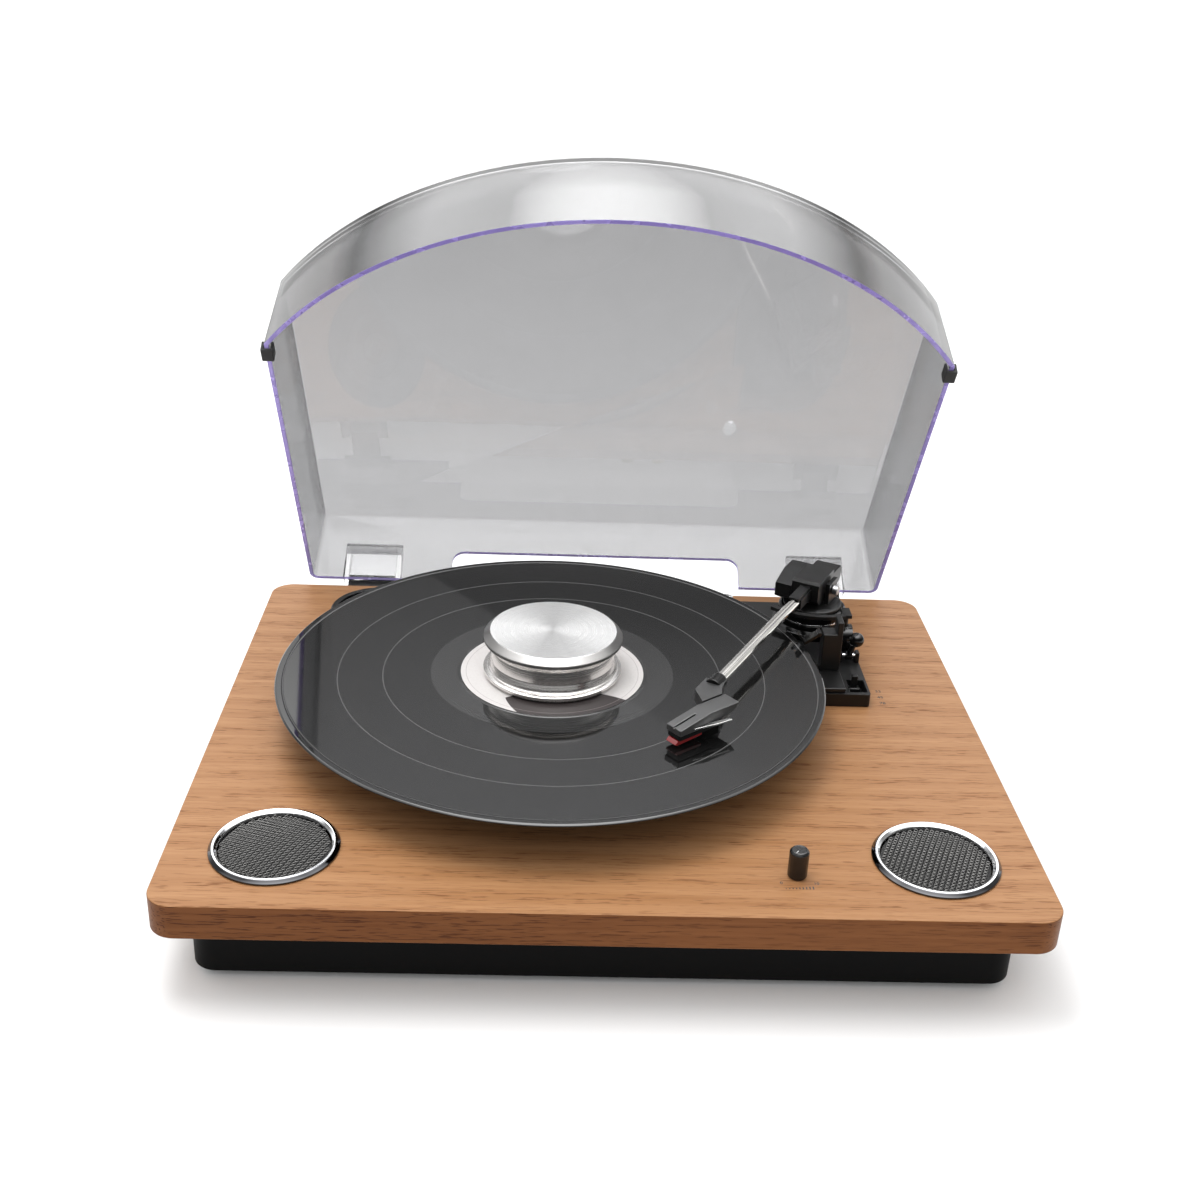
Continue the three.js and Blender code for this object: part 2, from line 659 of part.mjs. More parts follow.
function liftPlatform() {
  const { r0, r1, from, to, t } = LIFT_RAIL;
  const low = TUBE_Z - TUBE_R - GAP - t;
  const arc = new THREE.Shape();
  arc.absarc(ARM_PIVOT.x, ARM_PIVOT.y, r1, from, to);
  arc.absarc(ARM_PIVOT.x, ARM_PIVOT.y, r0, to, from, true);
  const bracket = block(143.4, LIFT_STEM.x + 2, 244.6, LIFT_STEM.y + 2, low, low + t);
  const stem = rod(LIFT_STEM.r, 13, low + t, 12).translate(LIFT_STEM.x, LIFT_STEM.y, 0);
  return join(slab(arc, low, low + t, 10), bracket, stem);
}

add(deck, 'lift_platform', liftPlatform(), BLACK_SATIN);

// ---------- dust cover ----------

// The cover group turns about the hinge axis. In it the cover is drawn closed.
const cover = new THREE.Group();
cover.position.set(0, HINGE_Y, HINGE_Z);
cover.rotation.x = -LID_OPEN;
deck.add(cover);

function lidOutline(inset) {
  const bulge = LID_DEPTH - LID_SIDE;
  const sweepR = (LID_HALF_W ** 2 + bulge ** 2) / (2 * bulge);
  const centreY = LID_REAR - LID_DEPTH + sweepR;
  const [w, r, rear] = [LID_HALF_W - inset, sweepR - inset, LID_REAR - inset];
  const half = Math.asin(w / r);
  const corner = 6 - inset;
  const shape = new THREE.Shape();
  shape.absarc(0, centreY, r, -Math.PI / 2 - half, -Math.PI / 2 + half);
  shape.absarc(w - corner, rear - corner, corner, 0, Math.PI / 2);
  shape.absarc(-w + corner, rear - corner, corner, Math.PI / 2, Math.PI);
  return shape;
}

// Draws the walls in towards the top, as a moulded cover's are.
function drafted(geometry) {
  const position = geometry.attributes.position;
  const middle = LID_REAR - LID_DEPTH / 2;
  for (let i = 0; i < position.count; i += 1) {
    const rise = (position.getZ(i) - LID_RIM) / LID_H;
    position.setX(i, position.getX(i) * (1 - (rise * LID_DRAFT) / LID_HALF_W));
    position.setY(i, middle + (position.getY(i) - middle) * (1 - (2 * rise * LID_DRAFT) / LID_DEPTH));
  }
  return geometry;
}

const POCKET = { halfW: 19.2, wall: 3.4, depth: 5.5, height: 29 };

function hingePocket(x) {
  const { halfW, wall, depth, height } = POCKET;
  const rear = LID_REAR + depth;
  const outer = block(x - halfW, x + halfW, LID_REAR - 1, rear, LID_RIM, LID_RIM + height);
  const slot = block(
    x - halfW + wall, x + halfW - wall, LID_REAR + 0.4, rear - 1.6, LID_RIM - 1, LID_RIM + height - 4,
  );
  return cut(outer, slot);
}

function lidShell() {
  const outer = drafted(slab(lidOutline(0), LID_RIM, LID_RIM + LID_H, 12));
  const inner = drafted(slab(lidOutline(LID_WALL), LID_RIM - 2, LID_RIM + LID_H - LID_WALL, 12));
  const notch = new THREE.Shape();
  notch.moveTo(-97, LID_RIM - 3);
  notch.lineTo(97, LID_RIM - 3);
  notch.lineTo(97, LID_RIM + 14);
  notch.absarc(89, LID_RIM + 15, 8, 0, Math.PI / 2);
  notch.absarc(-89, LID_RIM + 15, 8, Math.PI / 2, Math.PI);
  const notchTool = new THREE.ExtrudeGeometry(notch, { depth: 16, bevelEnabled: false, curveSegments: 5 });
  notchTool.rotateX(Math.PI / 2).translate(0, LID_REAR + 4, 0);
  const shell = cut(outer, inner, notchTool);
  return join(shell, hingePocket(-HINGE_X), hingePocket(HINGE_X));
}

function lidBumper(side) {
  const wallX = side * (LID_HALF_W - LID_WALL / 2);
  const y = LID_REAR - LID_SIDE + 7;
  const pad = block(wallX - 3.4, wallX + 3.4, y - 4.5, y + 4.5, LID_RIM - 2.2, LID_RIM + 5);
  const slot = block(wallX - 1.9, wallX + 1.9, y - 5, y + 5, LID_RIM - GAP, LID_RIM + 6);
  return cut(pad, slot);
}

const CASE_FACE = -17.7; // the case's back face, measured from the hinge axis
const BOARD_FACE = 5.7; // and the board's underside
const HINGE = { earX: 9.4, halfW: 15.5, barrelR: 5.5, pinR: 1.5 };

function hingeLeaf() {
  const { earX, halfW, barrelR, pinR } = HINGE;
  const half = earX - GAP;
  const leafY = LID_REAR + 1;
  const flange = block(-halfW, halfW, leafY, leafY + 2.3, 22, LID_RIM - GAP);
  const tongue = block(-halfW, halfW, leafY, leafY + 2.3, 22, LID_RIM + 4);
  const stem = block(-half, half, leafY + 0.2, 1.5, 0, 22.4);
  const barrel = rodAlongX(barrelR, -half, half, 14);
  const bore = rodAlongX(pinR + GAP, -20, 20, 12);
  return cut(join(flange, tongue, stem, barrel), bore);
}

function hingeBase() {
  const { earX, halfW, barrelR, pinR } = HINGE;
  const ear = (x0, x1) => [
    rodAlongX(barrelR, x0, x1, 14),
    block(x0, x1, CASE_FACE, 0, -barrelR, BOARD_FACE),
  ];
  const web = block(-halfW, halfW, CASE_FACE, -7, -barrelR, BOARD_FACE);
  const pin = rodAlongX(pinR, -halfW, halfW, 12);
  return join(...ear(-halfW, -earX), ...ear(earX, halfW), web, pin);
}

add(cover, 'lid_shell', lidShell(), CLEAR);
for (const [side, sign] of [['left', -1], ['right', 1]]) {
  add(cover, `lid_bumper_${side}`, lidBumper(sign), RUBBER);
  add(cover, `hinge_leaf_${side}`, hingeLeaf(), BLACK_SATIN, sign * HINGE_X);
  add(deck, `hinge_base_${side}`, hingeBase(), BLACK_SATIN, sign * HINGE_X, HINGE_Y, HINGE_Z);
}

export default group;
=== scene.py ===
import json
import math

import bmesh
import bpy
from mathutils import Matrix, Vector


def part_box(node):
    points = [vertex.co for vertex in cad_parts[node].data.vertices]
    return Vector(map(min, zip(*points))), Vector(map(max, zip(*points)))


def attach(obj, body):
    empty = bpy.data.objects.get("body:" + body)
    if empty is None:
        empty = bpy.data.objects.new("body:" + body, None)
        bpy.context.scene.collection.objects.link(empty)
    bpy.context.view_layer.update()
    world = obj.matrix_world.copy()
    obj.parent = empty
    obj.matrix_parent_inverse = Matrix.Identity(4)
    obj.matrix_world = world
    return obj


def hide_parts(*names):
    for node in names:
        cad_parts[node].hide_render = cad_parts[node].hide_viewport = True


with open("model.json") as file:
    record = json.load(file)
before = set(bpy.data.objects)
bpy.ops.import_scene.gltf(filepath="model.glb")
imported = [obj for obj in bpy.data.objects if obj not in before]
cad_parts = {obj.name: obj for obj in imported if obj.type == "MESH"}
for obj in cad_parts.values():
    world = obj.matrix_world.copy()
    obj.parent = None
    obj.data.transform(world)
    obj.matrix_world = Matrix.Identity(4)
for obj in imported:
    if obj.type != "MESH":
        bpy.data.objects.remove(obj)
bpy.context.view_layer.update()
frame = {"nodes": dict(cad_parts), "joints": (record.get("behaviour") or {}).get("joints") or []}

# ---------------------------------------------------------------------------
# Studio: a pale floor under a white room, one broad soft light overhead, and
# a camera in front of the player, above it and a little to the left.
# ---------------------------------------------------------------------------

board_low, board_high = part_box("plinth_board")


def deck(x, y, z=0.0):
    """Millimetres from the middle, the front and the top of the board, as a place in metres."""
    return Vector((x / 1000, board_low.y + y / 1000, board_high.z + z / 1000))


camera_data = bpy.data.cameras.new("camera")
camera_data.sensor_width = 36.0
camera_data.lens = 44.43
camera = bpy.data.objects.new("camera", camera_data)
camera.location = deck(-32.3, -540.6, 414.2)
camera.rotation_euler = [math.radians(angle) for angle in (64.543, -2.2505, -1.1915)]
bpy.context.collection.objects.link(camera)
bpy.context.scene.camera = camera
bpy.context.scene.view_settings.view_transform = "Standard"


def rgba(colour):
    """A colour with its alpha. One number stands for a grey."""
    return (colour, colour, colour, 1.0) if isinstance(colour, float) else (*colour, 1.0)


def finish(name, colour, roughness, metallic=0.0, **sockets):
    """A new material, with its constant values set on the shader's own sockets."""
    material = bpy.data.materials.new(name)
    material.use_nodes = True
    shader = material.node_tree.nodes["Principled BSDF"]
    shader.inputs["Base Color"].default_value = rgba(colour)
    shader.inputs["Roughness"].default_value = roughness
    shader.inputs["Metallic"].default_value = metallic
    for socket, value in sockets.items():
        shader.inputs[socket.replace("_", " ")].default_value = value
    return material, shader


def add_node(tree, kind, settings=(), **values):
    """Adds a node. settings are its own properties, values its input sockets or what feeds them."""
    node = tree.nodes.new(kind)
    for key, value in dict(settings).items():
        setattr(node, key, value)
    for key, value in values.items():
        numbered = key[0] == "i" and key[1:].isdigit()
        socket = node.inputs[int(key[1:]) if numbered else key.replace("_", " ")]
        if isinstance(value, bpy.types.NodeSocket):
            tree.links.new(value, socket)
        else:
            socket.default_value = value
    return node


def calc(tree, operation, first, second=0.0, third=0.0):
    return add_node(tree, "ShaderNodeMath", {"operation": operation},
                    i0=first, i1=second, i2=third).outputs[0]


def span(tree, value, low=0.0, high=1.0, to_low=0.0, to_high=1.0):
    """Maps a value from one range to another, held at both ends."""
    return add_node(tree, "ShaderNodeMapRange",
                    i0=value, i1=low, i2=high, i3=to_low, i4=to_high).outputs[0]


def choose(tree, share, first, second):
    """Mixes two plain values."""
    return add_node(tree, "ShaderNodeMix", {"data_type": "FLOAT"},
                    i0=share, i2=first, i3=second).outputs[0]


def object_place(tree):
    return add_node(tree, "ShaderNodeTexCoord").outputs["Object"]


def noise(tree, place, scale, detail):
    """A noise texture's outputs: the value, then the colour."""
    return add_node(tree, "ShaderNodeTexNoise", Vector=place, Scale=scale, Detail=detail).outputs


floor_material, floor_shader = finish("pale_floor", 0.9, 0.8, Specular_IOR_Level=0.1)
floor_tree = floor_material.node_tree
floor_tone = span(floor_tree, noise(floor_tree, object_place(floor_tree), 3.0, 2.0)[0],
                  0.0, 1.0, 0.94, 0.96)
floor_tree.links.new(floor_tone, floor_shader.inputs["Base Color"])
bpy.ops.mesh.primitive_plane_add(size=60.0)
floor = bpy.context.object
floor.name = "studio_floor"
floor.data.materials.append(floor_material)

world = bpy.data.worlds.new("white_room")
world.use_nodes = True
bpy.context.scene.world = world
room = world.node_tree
room_light = room.nodes["Background"]
room_light.inputs["Color"].default_value = rgba(1.0)
ray = add_node(room, "ShaderNodeLightPath").outputs
around = add_node(room, "ShaderNodeTexCoord").outputs["Generated"]
heading = add_node(room, "ShaderNodeSeparateXYZ", Vector=around).outputs
ceiling = span(room, heading["Z"], 0.40, 0.64, 0.50, 4.3)
front_wall = span(room, heading["Y"], -0.55, 0.05, 0.06, 1.0)
side_wall = span(room, calc(room, "ABSOLUTE", heading["X"]), 0.45, 0.8, 1.0, 0.62)
walls = calc(room, "MULTIPLY", front_wall, side_wall)
shaded = calc(room, "MAXIMUM", walls, span(room, heading["Z"], 0.6, 0.85))
softbox = span(room, heading["Z"], 0.82, 0.9, 0.0, 5.5)
behind = span(room, heading["Y"], 0.4, 0.65, 0.0, 0.9)
level = span(room, heading["Z"], 0.3, 0.42, 1.0, 0.0)
mirrored = calc(room, "MULTIPLY_ADD", ceiling, shaded, softbox)
mirrored = calc(room, "MULTIPLY_ADD", behind, level, mirrored)
from_above = span(room, heading["Z"], 0.0, 1.0, 0.45, 1.4)
from_left = span(room, heading["X"], -1.0, 1.0, 1.14, 0.86)
soft = calc(room, "MULTIPLY", from_above, from_left)
bounced = calc(room, "GREATER_THAN", ray["Glossy Depth"], 0.5)
seen = choose(room, bounced, 1.0, mirrored)
room.links.new(choose(room, ray["Is Diffuse Ray"], seen, soft), room_light.inputs["Strength"])

lamp = bpy.data.lights.new("overhead_light", "AREA")
lamp.shape = "RECTANGLE"
lamp.size, lamp.size_y = 0.9, 0.7
lamp.energy = 13.0
light = bpy.data.objects.new("overhead_light", lamp)
light.location = (-0.35, 0.2, 1.5)
light_aim = Vector((0.0, 0.0, 0.05)) - light.location
light.rotation_euler = light_aim.to_track_quat("-Z", "Y").to_euler()
light.visible_glossy = light.visible_camera = light.visible_transmission = False
bpy.context.collection.objects.link(light)

# ---------------------------------------------------------------------------
# Case: a satin black moulding set back under the board, closed from below by
# a matt cover that is held with pan-head screws and stands on rubber feet.
# ---------------------------------------------------------------------------


def shader_group(name, **inputs):
    """A shader group that will give a colour, a roughness and a height, and its named inputs."""
    tree = bpy.data.node_groups.new(name, "ShaderNodeTree")
    for socket, value in inputs.items():
        kind = "Float" if isinstance(value, float) else {3: "Vector", 4: "Color"}[len(value)]
        made = tree.interface.new_socket(socket.replace("_", " "), in_out="INPUT",
                                         socket_type="NodeSocket" + kind)
        made.default_value = value
    for socket, kind in (("Colour", "Color"), ("Roughness", "Float"), ("Height", "Float")):
        tree.interface.new_socket(socket, in_out="OUTPUT", socket_type="NodeSocket" + kind)
    return tree, tree.nodes.new("NodeGroupInput").outputs


def give(tree, **made):
    """Feeds a group's outputs, and returns the group."""
    sink = tree.nodes.new("NodeGroupOutput")
    for socket, value in made.items():
        tree.links.new(value, sink.inputs[socket])
    return tree


def vector_calc(tree, operation, **values):
    """A vector maths node's outputs: the vector, then the value."""
    return add_node(tree, "ShaderNodeVectorMath", {"operation": operation}, **values).outputs


def moulded_grain():
    tree, source = shader_group("moulded_grain", Colour=rgba(0.02), Roughness=0.4, Spread=0.06,
                                Grain=1500.0, Mottle=30.0)
    place = object_place(tree)
    fine = noise(tree, place, source["Grain"], 3.0)[0]
    broad = noise(tree, place, source["Mottle"], 4.0)[0]
    low = calc(tree, "SUBTRACT", source["Roughness"], source["Spread"])
    high = calc(tree, "ADD", source["Roughness"], source["Spread"])
    shade = span(tree, broad, 0.25, 0.75, 0.86, 1.12)
    tone = vector_calc(tree, "SCALE", i0=source["Colour"], Scale=shade)[0]
    return give(tree, Colour=tone, Roughness=span(tree, broad, 0.3, 0.7, low, high), Height=fine)


def grouped(name, group, colour, roughness, depth, values, metallic=0.0, **sockets):
    """A finish whose colour, gloss and relief come out of a shader group."""
    material, shader = finish(name, colour, roughness, metallic, **sockets)
    tree = material.node_tree
    made = add_node(tree, "ShaderNodeGroup", {"node_tree": group}, **values).outputs
    bump = add_node(tree, "ShaderNodeBump", Height=made["Height"], Distance=depth, Strength=1.0)
    tree.links.new(made["Colour"], shader.inputs["Base Color"])
    tree.links.new(made["Roughness"], shader.inputs["Roughness"])
    tree.links.new(bump.outputs[0], shader.inputs["Normal"])
    return material


grain_group = moulded_grain()


def grained(name, colour, roughness, spread=0.06, grain=1500.0, depth=0.00003, mottle=30.0,
            metallic=0.0, **sockets):
    """A finish whose tone and gloss wander a little, over a fine texture of the given depth."""
    values = {"Colour": rgba(colour), "Roughness": roughness, "Spread": spread, "Grain": grain,
              "Mottle": mottle}
    return grouped(name, grain_group, colour, roughness, depth, values, metallic, **sockets)


case_black = grained("case_black", 0.004, 0.5, grain=900.0, depth=0.00004,
                     Specular_IOR_Level=0.06)
cover_black = grained("cover_black", (0.02, 0.02, 0.021), 0.7, grain=700.0, depth=0.00008)
foot_rubber = grained("foot_rubber", 0.022, 0.85, grain=1200.0, depth=0.0001)
screw_steel = grained("screw_steel", (0.30, 0.30, 0.31), 0.3, metallic=1.0, grain=3000.0,
                      depth=0.00001)


def link_piece(name, mesh, finishes, sharp=38.0):
    """Links a mesh as an object at the origin, smooth except where it turns sharply."""
    for material in finishes:
        mesh.materials.append(material)
    mesh.shade_smooth()
    mesh.set_sharp_from_angle(angle=math.radians(sharp))
    made = bpy.data.objects.new(name, mesh)
    bpy.context.collection.objects.link(made)
    return made


def piece_from(form, name, *finishes, sharp=38.0):
    mesh = bpy.data.meshes.new(name)
    form.to_mesh(mesh)
    form.free()
    return link_piece(name, mesh, finishes, sharp)


def settle(piece, body, slot, *nodes):
    """Says which body a piece moves with and which nodes it stands for. The slot is not used."""
    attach(piece, body)
    if nodes:
        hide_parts(*nodes)


def eased(node, name, edge, material, steps=3):
    """A copy of a CAD node with its triangles joined into flats and its edges rounded."""
    form = bmesh.new()
    form.from_mesh(frame["nodes"][node].data)
    bmesh.ops.remove_doubles(form, verts=form.verts, dist=1e-5)
    bmesh.ops.dissolve_limit(form, angle_limit=math.radians(1.0), verts=form.verts,
                             edges=form.edges)
    turn = math.radians(38.0)
    edges = [e for e in form.edges if e.is_manifold and e.calc_face_angle() > turn]
    bmesh.ops.bevel(form, geom=edges, offset=edge / 1000, segments=steps, profile=0.5,
                    affect="EDGES", clamp_overlap=True)
    made = piece_from(form, name, material)
    made.modifiers.new("even_flats", "WEIGHTED_NORMAL").keep_sharp = True
    return made


def ease_all(*rows):
    """Rows of node, piece name, edge radius in millimetres, material, body and slot."""
    for node, name, edge, material, body, slot in rows:
        settle(eased(node, name, edge, material), body, slot, node)


def coat(material, *nodes):
    """Gives CAD nodes that keep their own shape a finished material."""
    for node in nodes:
        slots = frame["nodes"][node].data.materials
        slots.clear()
        slots.append(material)


def rounded(outline, edge, closed=False):
    """Rounds an outline's corners, and holds the flats beside each one with an extra point."""
    steps, hold = 4, 0.25
    points = [Vector(point) for point in outline]
    result = []
    for index, corner in enumerate(points):
        if not closed and index in (0, len(points) - 1):
            result.append(corner)
            continue
        before, after = points[index - 1] - corner, points[(index + 1) % len(points)] - corner
        reach = min(edge, 0.4 * before.length, 0.4 * after.length)
        start = corner + before.normalized() * reach
        end = corner + after.normalized() * reach
        spare = min(hold, 0.4 * (min(before.length, after.length) / 2 - reach) + 1e-4)
        result.append(start + before.normalized() * spare)
        for step in range(steps + 1):
            t = step / steps
            result.append(start.lerp(corner, t).lerp(corner.lerp(end, t), t))
        result.append(end + after.normalized() * spare)
    return result


def lathe(name, outline, place, *finishes, sides=96, closed=False):
    """Turns an outline of (radius, height) in millimetres about the upright axis of a place."""
    form = bmesh.new()
    rings = []
    for radius, height in outline:
        ring = []
        for turn in range(sides if radius > 1e-6 else 1):
            angle = 2 * math.pi * turn / sides
            spot = Vector((radius * math.cos(angle), radius * math.sin(angle), height)) / 1000
            ring.append(form.verts.new(place @ spot))
        rings.append(ring)
    if closed:
        rings.append(rings[0])
    for lower, upper in zip(rings, rings[1:]):
        for turn in range(sides):
            after = (turn + 1) % sides
            corners = [lower[turn % len(lower)], lower[after % len(lower)],
                       upper[after % len(upper)], upper[turn % len(upper)]]
            corners = list(dict.fromkeys(corners))
            if len(corners) > 2:
                form.faces.new(corners)
    bmesh.ops.recalc_face_normals(form, faces=form.faces)
    return piece_from(form, name, *finishes)


def upright(x, y, z=0.0):
    return Matrix.Translation(deck(x, y, z))


def measured(node):
    """A node's middle (x, y), half width, lowest and highest points, in deck millimetres."""
    low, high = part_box(node)
    return ((low.x + high.x) * 500, ((low.y + high.y) / 2 - board_low.y) * 1000,
            (high.x - low.x) * 500, (low.z - board_high.z) * 1000, (high.z - board_high.z) * 1000)


ease_all(("base_case", "case_moulding", 1.2, case_black, "base", "base_black"),
         ("bottom_cover", "underside_cover", 0.6, cover_black, "base", "matte_black"))

for node in ("foot_front_left", "foot_front_right", "foot_rear_left", "foot_rear_right"):
    x, y, wide, base, top = measured(node)
    foot_outline = rounded([(0, 0.5), (wide - 3.2, 0.5), (wide - 2.6, 0), (wide - 0.6, 0),
                            (wide, 0.8), (wide - 1.6, top - base), (0, top - base)], 0.5)
    foot = lathe("rubber_" + node, foot_outline, upright(x, y, base), foot_rubber, sides=48)
    settle(foot, "base", "rubber", node)


def evaluated(holder):
    """The plain mesh that an object's modifiers or its curve make. The object is removed."""
    bpy.context.view_layer.update()
    mesh = bpy.data.meshes.new_from_object(
        holder.evaluated_get(bpy.context.evaluated_depsgraph_get()))
    bpy.data.objects.remove(holder)
    return mesh


def growing_tree(name, **inputs):
    """A Geometry Nodes tree that gives one shape: the tree, its inputs and their identifiers."""
    tree = bpy.data.node_groups.new(name, "GeometryNodeTree")
    sockets = {
        key: tree.interface.new_socket(key, in_out="INPUT",
                                       socket_type="NodeSocket" + kind).identifier
        for key, kind in inputs.items()
    }
    tree.interface.new_socket("Shape", in_out="OUTPUT", socket_type="NodeSocketGeometry")
    return tree, tree.nodes.new("NodeGroupInput").outputs, sockets


def grown(name, tree, start, values, instances, material):
    """Ends a tree by making its instances real and painted, and runs it on a starting mesh."""
    real = add_node(tree, "GeometryNodeRealizeInstances", Geometry=instances).outputs[0]
    painted = add_node(tree, "GeometryNodeSetMaterial", Geometry=real, Material=material)
    give(tree, Shape=painted.outputs[0])
    holder = bpy.data.objects.new(name, start)
    bpy.context.collection.objects.link(holder)
    modifier = holder.modifiers.new(name, "NODES")
    modifier.node_group = tree
    for identifier, value in values.items():
        modifier[identifier] = value
    return evaluated(holder)


def screw_set(name, places, radius, axis_turn):
    """Steel pan-head screws at the given places: one head with a cross slot, instanced."""
    head_outline = rounded([(0, radius * 0.55), (radius * 0.6, radius * 0.5), (radius, 0.1),
                            (radius, -0.2), (0, -0.2)], radius * 0.15)
    head = lathe("screw_head", head_outline, Matrix.Identity(4), sides=20)
    for vert in head.data.vertices:
        spot = vert.co * 1000
        in_slot = min(abs(spot.x), abs(spot.y)) < radius * 0.16 and spot.length < radius * 0.75
        if in_slot and spot.z > radius * 0.3:
            vert.co.z -= radius * 0.3 / 1000
    points = bpy.data.meshes.new(name + "_places")
    points.from_pydata([tuple(place) for place in places], [], [])
    tree, source, sockets = growing_tree("screw_set", Places="Geometry", Turn="Float")
    model = add_node(tree, "GeometryNodeObjectInfo", Object=head).outputs["Geometry"]
    tilt = add_node(tree, "ShaderNodeCombineXYZ", X=source["Turn"]).outputs[0]
    spread = add_node(tree, "GeometryNodeInstanceOnPoints", Points=source["Places"],
                      Instance=model, Rotation=tilt).outputs[0]
    mesh = grown(name, tree, points, {sockets["Turn"]: axis_turn}, spread, screw_steel)
    bpy.data.objects.remove(head)
    settle(link_piece(name, mesh, []), "base", "steel")


SCREW_INSET = 0.008
cover_low, cover_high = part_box("bottom_cover")
cover_half_y = (cover_low.y + cover_high.y) / 2
screw_set("underside_screws", [
    (x, y, cover_low.z - 0.0002)
    for x in (cover_low.x + SCREW_INSET, 0.0, cover_high.x - SCREW_INSET)
    for y in (cover_low.y + SCREW_INSET, cover_half_y, cover_high.y - SCREW_INSET)
    if x != 0.0 or y != cover_half_y
], 3.0, math.pi)

# ---------------------------------------------------------------------------
# Board: medium-density fibreboard 18 mm thick with an oak veneer on top and a
# veneer band round its edge painted darker as shade, eased and lacquered.
# ---------------------------------------------------------------------------


def blend(tree, share, first, second):
    """Mixes two colours."""
    return add_node(tree, "ShaderNodeMix", {"data_type": "RGBA"},
                    i0=share, i6=first, i7=second).outputs[2]


def oak_veneer():
    tree, source = shader_group("oak_veneer", Light=rgba((0.6, 0.35, 0.2)),
                                Middle=rgba((0.5, 0.28, 0.15)), Pore=rgba((0.2, 0.1, 0.05)),
                                Pore_Amount=0.5)
    place = object_place(tree)

    def stretched(along, across, shift=(0.0, 0.0, 0.0)):
        return add_node(tree, "ShaderNodeMapping", Vector=place, Scale=(along, across, across),
                        Location=shift).outputs[0]

    drift = noise(tree, stretched(1.6, 5.0, (3.1, 0.7, 0.0)), 1.0, 1.5)["Color"]
    bend = vector_calc(tree, "MULTIPLY_ADD", i0=drift, i1=(0.0, 6.0, 6.0),
                       i2=stretched(1.0, 58.0))[0]
    rings = add_node(tree, "ShaderNodeTexWave", {"bands_direction": "Y", "wave_profile": "SIN"},
                     Vector=bend, Scale=0.33, Distortion=1.6, Detail=3.0, i5=0.6).outputs[1]
    streaks = noise(tree, stretched(12.0, 380.0), 1.0, 7.0)[0]
    hairs = noise(tree, stretched(85.0, 1350.0), 1.0, 2.0)[0]
    mixed = calc(tree, "ADD", calc(tree, "MULTIPLY_ADD", rings, 0.22, -0.06), streaks)
    base = blend(tree, span(tree, mixed, 0.25, 0.85), source["Light"], source["Middle"])
    late = span(tree, rings, 0.0, 1.0, 0.35, 1.0)
    pores = calc(tree, "MULTIPLY", span(tree, hairs, 0.555, 0.64), late)
    amount = calc(tree, "MULTIPLY", pores, source["Pore Amount"])
    return give(tree, Colour=blend(tree, amount, base, source["Pore"]),
                Roughness=span(tree, pores, 0.0, 1.0, 0.40, 0.58),
                Height=calc(tree, "MULTIPLY", pores, -1.0))


veneer_group = oak_veneer()


def veneer(name, light, middle, pore, amount, gloss):
    values = {"Light": rgba(light), "Middle": rgba(middle), "Pore": rgba(pore),
              "Pore Amount": amount}
    return grouped(name, veneer_group, light, 0.45, 0.00006, values, Specular_IOR_Level=gloss)


top_veneer = veneer("top_veneer", (0.40, 0.210, 0.098), (0.285, 0.132, 0.053),
                    (0.13, 0.048, 0.018), 0.72, 0.18)
edge_veneer_painted_shade = veneer("edge_veneer_painted_shade", (0.205, 0.078, 0.026), (0.125, 0.042, 0.012),
                     (0.04, 0.011, 0.004), 0.7, 0.1)

board = eased("plinth_board", "oak_board", 1.6, top_veneer, steps=5)
# The upright edge faces take a darker copy of the veneer: painted shade.
board.data.materials.append(edge_veneer_painted_shade)
for face in board.data.polygons:
    face.material_index = 1 if abs(face.normal.z) < 0.6 else 0
settle(board, "base", "wood", "plinth_board")

# ---------------------------------------------------------------------------
# Speakers: a chromed ring presses a black perforated steel dome over a paper
# cone. Each driver is screwed up against the underside of the board.
# ---------------------------------------------------------------------------

chrome = grained("chrome_plate", (0.80, 0.81, 0.82), 0.07, spread=0.03, metallic=1.0,
                 grain=400.0, depth=0.000002)
# A dark copy of the chrome for the bezel's outer slope: a painted dark reflection on chrome that is
# the same all over.
chrome_painted_dark_reflection = grained("chrome_painted_dark_reflection", (0.10, 0.10, 0.105), 0.09, spread=0.03, metallic=1.0,
                      grain=400.0, depth=0.000002)
grille_black = grained("grille_black", (0.108, 0.106, 0.103), 0.28, metallic=1.0,
                       grain=4000.0, depth=0.00001)
cone_paper = grained("cone_paper", 0.012, 0.95, grain=900.0, depth=0.0002)
GRILLE_RISE, GRILLE_PITCH, ROW_TURN = 1.9, 2.3, (0.0, 0.0, 1.17)


